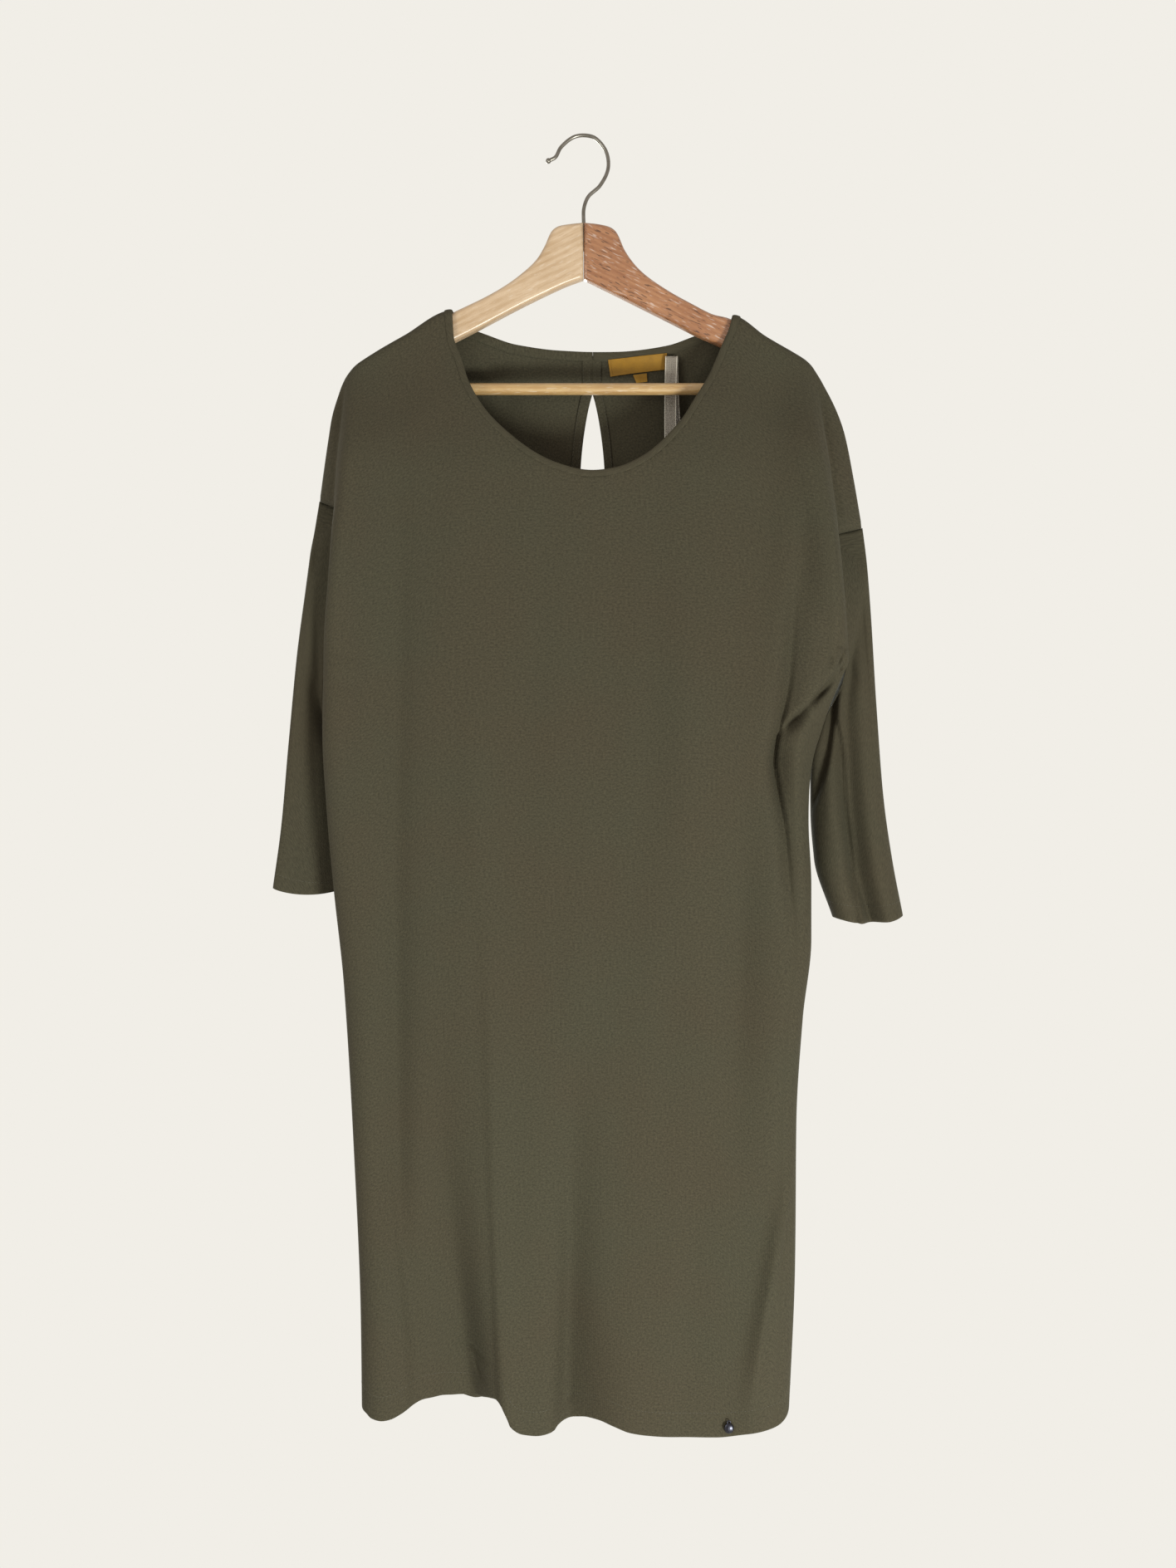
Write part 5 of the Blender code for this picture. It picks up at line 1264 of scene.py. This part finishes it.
class DRESS_OT_sleeves(Operator):
    """The three-quarter sleeves, set into the dropped armholes, with turned and stitched cuffs"""

    bl_idname = "dress.sleeves"
    bl_label = "Sleeves"

    def execute(self, context):
        cloth = cloth_of(context)
        cuff = np.array(CUFF_ROWS)
        above = np.linspace(0.0, 1.0 - cuff[0], cloth.sleeve_rows - len(cuff) + 1)[:-1]
        v = np.concatenate((above, 1.0 - cuff))
        across, down = np.meshgrid(np.linspace(0.0, 1.0, cloth.sleeve_columns, endpoint=False), v)
        for name, rows, hole, outward, sag, bias in (
            ("left", SLEEVE_LEFT, ARMHOLE_LEFT, -1.0, CUFF_SAG_LEFT, BULGE_BIAS_LEFT),
            ("right", SLEEVE_RIGHT, ARMHOLE_RIGHT, 1.0, CUFF_SAG_RIGHT, BULGE_BIAS_RIGHT),
        ):
            points = sleeve(rows, hole, outward, sag, bias, name, across, down)
            wrapped = np.concatenate((points[:, -2:], points, points[:, :2]), axis=1)
            out = normals(wrapped, outward)[:, 2:-2]
            turned = hem_turned(points, out, CUFF_TURN_ROWS, cloth.hem_gap / MM, FOLD_PAST_CUFF)
            closed = np.concatenate((turned, turned[:, :1]), axis=1)
            made = grid_shell("dress_sleeve_" + name, closed, cloth.wall, jersey_of(context))
            with editing(made.data) as shape_mesh:
                bmesh.ops.remove_doubles(shape_mesh, verts=shape_mesh.verts[:], dist=SLEEVE_WELD * MM)
            settle(made, "jersey", "sleeve_" + name)
            ring, ring_out = (np.concatenate((each[CUFF_STITCH_ROW], each[CUFF_STITCH_ROW][:1]))
                              for each in (points, out))
            sewn = sew("dress_cuff_%s_stitches" % name, [(ring + ring_out * STITCH_LIFT, ring_out)], context)
        return {"FINISHED"}


def neck_ring(place, offset):
    """Points beside the neck's edge: place is 0 to 3 round it from the centre back."""
    share = np.where(
        place < 1.0, (CENTRE_NECK - BINDING_END_GAP) * (1.0 - place),
        np.where(place < 2.0, place - 1.0, 1.0 - (1.0 - CENTRE_NECK - BINDING_END_GAP) * (place - 2.0)),
    )
    share = np.clip(share, 0.0, 1.0)
    found = []
    for back in (False, True):
        x, length = neck_line(back, share, offset)
        found.append(on_layer(back, x, drop_at(length)))
    over = ((place >= 1.0) & (place < 2.0))[..., None]
    return np.where(over, found[0], found[1])


def neck_width(place):
    """The binding's width round the neck. The front's and the back's meet at the shoulders."""
    front = (place >= 1.0) & (place < 2.0)
    share = place - 1.0
    behind = np.where(place < 1.0, (1.0 - place) * CENTRE_NECK, (place - 2.0) * (1.0 - CENTRE_NECK))
    share = np.where(front, np.minimum(share, 1.0 - share), behind)
    middle = np.where(front, BINDING_FRONT, BINDING_BACK)
    return middle + (0.5 * (BINDING_FRONT + BINDING_BACK) - middle) * ease(1.0 - share / BINDING_CHANGE)


def binding_normals(place, offset, ahead, behind):
    sideways = neck_ring(place, offset + 1.0) - neck_ring(place, np.maximum(offset - 1.0, 0.0))
    normal = np.cross(sideways, neck_ring(ahead, offset) - neck_ring(behind, offset))
    return normal / np.linalg.norm(normal, axis=-1, keepdims=True)


class DRESS_OT_neck_binding(Operator):
    """The narrow strip that binds the neck, rounded over its edge, its ends meeting at the centre back"""

    bl_idname = "dress.neck_binding"
    bl_label = "Neck binding"

    def execute(self, context):
        keys = np.array(BINDING_PLACES)
        place = np.interp(np.linspace(0.0, 1.0, BINDING_COLUMNS), keys[:, 0], keys[:, 1])
        width = neck_width(place)
        ahead, behind = np.minimum(place + NECK_STEP, 3.0), np.maximum(place - NECK_STEP, 0.0)
        rings = [
            (neck_ring(place, across * width), binding_normals(place, across * width, ahead, behind), out)
            for across, out in BINDING_SECTION
        ]
        # The directions out are turned to the front, as they lie at the middle of the neck's front.
        turn = -1.0 if rings[3][1][BINDING_COLUMNS // 2][1] > 0.0 else 1.0
        points = []
        for middle, normal, out in rings:
            padded = np.concatenate((normal[:1], normal[:1], normal, normal[-1:], normal[-1:]))
            soft = sum(share * padded[k : k + len(normal)] for k, share in enumerate(SOFTENING)) * turn
            points.append(middle + soft / np.linalg.norm(soft, axis=-1, keepdims=True) * out)
        ring = np.stack(points, axis=0)
        # The section is closed by faces from its last line to its first.
        first = np.arange(BINDING_COLUMNS - 1)
        last = first + (len(BINDING_SECTION) - 1) * BINDING_COLUMNS
        closing = np.stack((last, last + 1, first + 1, first), -1)
        faces = np.concatenate((grid_faces(len(BINDING_SECTION), BINDING_COLUMNS), closing))
        uv = cloth_uv(ring.transpose(1, 0, 2)).transpose(1, 0, 2)
        mesh = mesh_from("dress_neck_binding", ring.reshape(-1, 3), faces, uv)
        with editing(mesh) as shape:
            bmesh.ops.holes_fill(shape, edges=[e for e in shape.edges if e.is_boundary], sides=0)
            bmesh.ops.recalc_face_normals(shape, faces=shape.faces[:])
        mesh.materials.append(jersey_of(context))
        made = settle(link("dress_neck_binding", mesh), "jersey", "neck_binding")
        return {"FINISHED"}


def patch_points(corners, clear):
    """A small piece over the inside of the back, between four corners, waving a little at its lower edge."""
    u, v = np.meshgrid(np.linspace(0.0, 1.0, PATCH_COLUMNS), np.linspace(0.0, 1.0, PATCH_ROWS))
    corner = np.array(corners)
    top = corner[0] + (corner[1] - corner[0]) * u[..., None]
    bottom = corner[3] + (corner[2] - corner[3]) * u[..., None]
    place = top + (bottom - top) * v[..., None]
    x, z = place[..., 0], place[..., 1]
    points = on_layer(True, x, shoulder_z(x) - z)
    points[..., 1] -= clear + PATCH_WAVE * (np.sin(4.2 * u + 0.5) * v + 0.4 * np.sin(9.0 * u) * v)
    return points


class DRESS_OT_labels(Operator):
    """The woven neck label and the small size tab under it, both left bare"""

    bl_idname = "dress.labels"
    bl_label = "Label and size tab"

    def execute(self, context):
        trims = context.scene.jersey_trims
        clear = trims.label_clear / MM
        finish = material_named("satin_label", satin_label, trims)
        for node, corners, away, sizes in (
            ("label", LABEL_CORNERS_X_Z, clear, (0.055, 0.015)),
            ("size_tab", TAB_CORNERS_X_Z, clear - TAB_BEHIND, (0.013, 0.01)),
        ):
            made = grid_shell("dress_" + node, patch_points(corners, away), trims.label_wall, finish)
            soft = made.modifiers.new("edges", "BEVEL")
            soft.width, soft.segments, soft.limit_method = PATCH_BEVEL * MM, 2, "ANGLE"
            settle(made, "woven_label", node)
        points = patch_points(LABEL_CORNERS_X_Z, clear + STITCH_LIFT)
        out = np.repeat(np.array([[0.0, -1.0, 0.0]]), PATCH_ROWS, 0)
        runs = [(points[:, column], out) for column in LABEL_STITCH_COLUMNS]
        settle(stitches("dress_label_stitches", runs, *LABEL_STITCH, finish), "woven_label")
        return {"FINISHED"}


class DRESS_OT_hanging_loop(Operator):
    """The loop of sheer ribbon at the right of the back neck, its woven edges paler"""

    bl_idname = "dress.hanging_loop"
    bl_label = "Hanging loop"

    def execute(self, context):
        trims = context.scene.jersey_trims
        v = np.linspace(0.0, 1.0, RIBBON_ROWS)
        across = np.linspace(-0.5, 0.5, RIBBON_COLUMNS)
        curl = RIBBON_CURL * np.sin(across * math.pi * 2.0)
        section = np.stack((across * (trims.ribbon_width / MM), curl, np.zeros_like(across)), -1)
        points = along(LOOP_X_Y_Z, v)[:, None] + section[None]
        points[..., 1] += RIBBON_SWAY * np.sin(v * RIBBON_WAVES)[:, None]
        sheer = sheer_organza("sheer_organza", trims.ribbon, RIBBON_COVER)
        made = settle(grid_shell("dress_hanging_loop", points, RIBBON_WALL * MM, sheer), "sheer_ribbon",
                      "hanging_loop")
        edge = sheer_organza("organza_edge", trims.ribbon_edge, RIBBON_EDGE_COVER)
        cords = [
            settle(tube("dress_loop_edge_" + name, points[:, column], RIBBON_EDGE_RADIUS, edge, sides=8),
                   "sheer_ribbon")
            for name, column in (("left", 0), ("right", -1))
        ]
        return {"FINISHED"}


class DRESS_OT_hem_bead(Operator):
    """The small dark metal bead at the right of the hem, with the eye it is sewn on by"""

    bl_idname = "dress.hem_bead"
    bl_label = "Hem bead"

    def execute(self, context):
        finish = material_named("black_nickel", black_nickel, context.scene.jersey_trims)
        wide, thick, tall = BEAD_SIZE
        cloth_y = on_layer(False, np.array([BEAD_X]), shoulder_z(np.array([BEAD_X])) - BEAD_Z)[0][1]
        y = cloth_y - BEAD_CLEAR - 0.5 * thick
        spot = Vector((BEAD_X, y, BEAD_Z))
        size = Matrix.Diagonal((0.5 * wide * MM, 0.5 * thick * MM, BEAD_HALF_SHARE * tall * MM, 1.0))
        bead = ball("dress_hem_bead", 1.0, Matrix.Translation(spot * MM) @ size, finish, around=40, down=26)
        for vertex in bead.data.vertices:
            local = (vertex.co - spot * MM) / MM
            ribbed = 1.0 - BEAD_RIB * (0.5 + 0.5 * math.cos(BEAD_RIBS * math.atan2(local.x, -local.y)))
            vertex.co = (Vector((local.x * ribbed, local.y * ribbed, local.z)) + spot) * MM
        settle(bead, "dark_metal", "hem_bead")
        angle = np.linspace(0.0, 2.0 * math.pi, EYE_POINTS)
        eye_x = BEAD_X + EYE_RADIUS * np.cos(angle)
        eye_z = BEAD_Z + BEAD_HALF_SHARE * tall + EYE_RISE + EYE_RADIUS * np.sin(angle)
        eye = np.stack((eye_x, np.full(EYE_POINTS, y), eye_z), -1)
        settle(tube("dress_hem_bead_eye", eye, EYE_WIRE_RADIUS, finish, sides=10, caps=False), "dark_metal")
        return {"FINISHED"}


def board(name, side, top, end, bottom, settings, finish):
    """One arm of the hanger: its outline smoothed, cut at the mitre, with rounded edges."""
    mitre = side * 0.5 * MITRE_GAP
    outline = np.concatenate((
        along([(mitre, ARM_TOP), *top], np.linspace(0.0, 1.0, ARM_TOP_POINTS)),
        along([top[-1], *end], np.linspace(0.0, 1.0, ARM_END_POINTS))[1:],
        along([end[-1], *bottom, (mitre, ARM_NOTCH)], np.linspace(0.0, 1.0, ARM_BOTTOM_POINTS))[1:],
    ))
    data = bpy.data.curves.new(name, "CURVE")
    data.dimensions, data.fill_mode = "2D", "BOTH"
    data.extrude = 0.5 * settings.thickness - settings.edge
    data.bevel_depth, data.bevel_resolution = settings.edge, 6
    data.offset = -settings.edge
    line = data.splines.new("POLY")
    line.points.add(len(outline) - 1)
    for point, (x, z) in zip(line.points, outline):
        point.co = (x * MM, z * MM, 0.0, 1.0)
    line.use_cyclic_u = True
    drawn = link(name, data)
    bpy.context.view_layer.update()
    mesh = bpy.data.meshes.new_from_object(drawn.evaluated_get(bpy.context.evaluated_depsgraph_get()))
    bpy.data.objects.remove(drawn, do_unlink=True)
    mesh.transform(Matrix.Rotation(0.5 * math.pi, 4, "X"))
    with editing(mesh) as shape:
        bmesh.ops.remove_doubles(shape, verts=shape.verts[:], dist=ARM_WELD * MM)
        for face in shape.faces:
            face.smooth = abs(face.normal.y) < ARM_FLAT
    mesh.name = name
    mesh.materials.clear()
    mesh.materials.append(finish)
    return link(name, mesh)


class DRESS_OT_hanger_arms(Operator):
    """The two arms of the hanger: pale maple at the left, reddish mahogany at the right, mitred together"""

    bl_idname = "dress.hanger_arms"
    bl_label = "Hanger arms"

    def execute(self, context):
        hanger = context.scene.jersey_hanger
        maple = lacquered_wood(
            "lacquered_maple", GRAIN_TILT, hanger.maple_ring, hanger.maple, hanger.maple_dark,
            hanger.maple_dark, pore_share=0.35, roughness=0.4, coat=0.12)
        mahogany = lacquered_wood(
            "lacquered_mahogany", -GRAIN_TILT, hanger.mahogany_ring, hanger.mahogany, hanger.mahogany_dark,
            hanger.pore, pore_share=0.8, roughness=0.4, coat=0.35)
        left = board("hanger_maple_arm", -1.0, ARM_LEFT_TOP_X_Z, ARM_LEFT_END_X_Z, ARM_LEFT_BOTTOM_X_Z,
                     hanger, maple)
        settle(left, "pale_wood", "hanger_arm_left")
        right = board("hanger_mahogany_arm", 1.0, ARM_RIGHT_TOP_X_Z, ARM_RIGHT_END_X_Z, ARM_RIGHT_BOTTOM_X_Z,
                      hanger, mahogany)
        settle(right, "red_wood", "hanger_arm_right")
        return {"FINISHED"}


class DRESS_OT_hanger_bar(Operator):
    """The round trouser bar between the ends of the arms"""

    bl_idname = "dress.hanger_bar"
    bl_label = "Trouser bar"

    def execute(self, context):
        hanger = context.scene.jersey_hanger
        beech = lacquered_wood("lacquered_beech", 0.0, hanger.beech_ring, hanger.beech, hanger.beech_dark,
                               hanger.beech_dark, pore_share=0.5, roughness=0.38, coat=0.35)
        middle = np.linspace(BAR_LEFT + BAR_END, BAR_RIGHT - BAR_END, BAR_POINTS)
        x = np.concatenate(([BAR_LEFT, BAR_LEFT + BAR_CAP], middle, [BAR_RIGHT - BAR_CAP, BAR_RIGHT]))
        path = np.stack((x, np.zeros_like(x), np.full_like(x, BAR_Z)), -1)
        settle(tube("hanger_beech_bar", path, BAR_RADIUS, beech, sides=40), "pale_wood", "hanger_bar")
        return {"FINISHED"}


class DRESS_OT_hanger_hook(Operator):
    """The bent wire hook with its ball tip"""

    bl_idname = "dress.hanger_hook"
    bl_label = "Hook"

    def execute(self, context):
        nickel = material_named("nickel_wire", nickel_wire, context.scene.jersey_hanger)
        bend = along(HOOK_X_Z, np.linspace(0.0, 1.0, HOOK_POINTS))
        path = np.stack((bend[:, 0], np.zeros(HOOK_POINTS), bend[:, 1]), -1)
        path = np.concatenate((path, [(0.0, 0.0, z) for z in (*WIRE_STEM_Z, WIRE_END)]))
        settle(tube("hanger_wire_hook", path, WIRE_RADIUS, nickel, sides=24), "wire", "hanger_hook")
        tip = Matrix.Translation(Vector(path[0]) * MM)
        settle(ball("hanger_hook_tip", BALL_RADIUS * MM, tip, nickel, around=28, down=18), "wire")
        return {"FINISHED"}


class DRESS_OT_stage(Operator):
    """A plain pale floor, soft studio light and the camera at the photograph's place"""

    bl_idname = "dress.stage"
    bl_label = "Stage"

    def execute(self, context):
        stage = context.scene.jersey_stage
        finish, tree, shader, place = new_material("studio_ground")
        mottle = add_node(tree, "TexNoise", {"Scale": 3.0, "Detail": 2.0}, {"Vector": place}).outputs["Fac"]
        # The lamps are bright at the floor, so it is darker than the ground to look as pale.
        tones = {6 + k: rgba([c * tone for c in stage.ground]) for k, tone in enumerate(FLOOR_TONES)}
        tone = add_node(tree, "Mix", tones, {0: mottle}, data_type="RGBA").outputs[2]
        set_inputs(shader, {"Roughness": 0.9}, {"Base Color": tone})
        mesh = bpy.data.meshes.new("studio_floor")
        with editing(mesh) as shape:
            bmesh.ops.create_circle(shape, cap_ends=True, radius=FLOOR_RADIUS, segments=96,
                                    matrix=Matrix.Translation((0.0, 0.0, stage.floor_z)))
        mesh.materials.append(finish)
        link("studio_floor", mesh)
        world = bpy.data.worlds.new("studio")
        context.scene.world = world
        world.use_nodes = True
        set_inputs(world.node_tree.nodes["Background"], {"Color": rgba(stage.ground), "Strength": stage.sky})
        for name, place, aim_z, size, share in LAMPS:
            data = bpy.data.lights.new(name, "AREA")
            data.shape, data.size, data.energy, data.color = "DISK", size, share * stage.key, stage.light
            lamp = link(name, data)
            lamp.location = place
            towards = Vector((0.0, 0.0, aim_z)) - Vector(place)
            lamp.rotation_euler = towards.to_track_quat("-Z", "Y").to_euler()
        data = bpy.data.cameras.new("photo_camera")
        data.lens, data.sensor_width, data.sensor_fit = stage.lens, SENSOR_WIDTH, "AUTO"
        data.clip_start, data.clip_end = CAMERA_NEAR, CAMERA_FAR
        camera = link("photo_camera", data)
        camera.location = CAMERA_PLACE
        camera.rotation_euler = (0.5 * math.pi, 0.0, 0.0)
        context.scene.camera = camera
        context.scene.view_settings.view_transform = "Standard"
        return {"FINISHED"}


OPERATORS = (
    DRESS_OT_hanger_arms, DRESS_OT_hanger_bar, DRESS_OT_hanger_hook, DRESS_OT_front, DRESS_OT_backs,
    DRESS_OT_sleeves, DRESS_OT_neck_binding, DRESS_OT_labels, DRESS_OT_hanging_loop, DRESS_OT_hem_bead,
    DRESS_OT_stage,
)
GROUPS = (
    ("jersey_cloth", ClothSettings), ("jersey_trims", TrimSettings), ("jersey_hanger", HangerSettings),
    ("jersey_stage", StageSettings),
)


class DRESS_PT_sidebar(Panel):
    """The dress's settings and the steps that build it"""

    bl_idname = "DRESS_PT_sidebar"
    bl_label = "Jersey Dress"
    bl_space_type = "VIEW_3D"
    bl_region_type = "UI"
    bl_category = "Jersey Dress"

    def draw(self, context):
        for name, group in GROUPS:
            box = self.layout.box()
            for setting in group.__annotations__:
                box.prop(getattr(context.scene, name), setting)
        for step in OPERATORS:
            self.layout.operator(step.bl_idname)


def register():
    for name, group in GROUPS:
        bpy.utils.register_class(group)
        setattr(bpy.types.Scene, name, PointerProperty(type=group))
    for made in (*OPERATORS, DRESS_PT_sidebar):
        bpy.utils.register_class(made)


def unregister():
    for made in (DRESS_PT_sidebar, *reversed(OPERATORS)):
        bpy.utils.unregister_class(made)
    for name, group in reversed(GROUPS):
        delattr(bpy.types.Scene, name)
        bpy.utils.unregister_class(group)


def main():
    register()
    for step in OPERATORS:
        family, name = step.bl_idname.split(".")
        getattr(getattr(bpy.ops, family), name)()


if __name__ == "__main__":
    main()
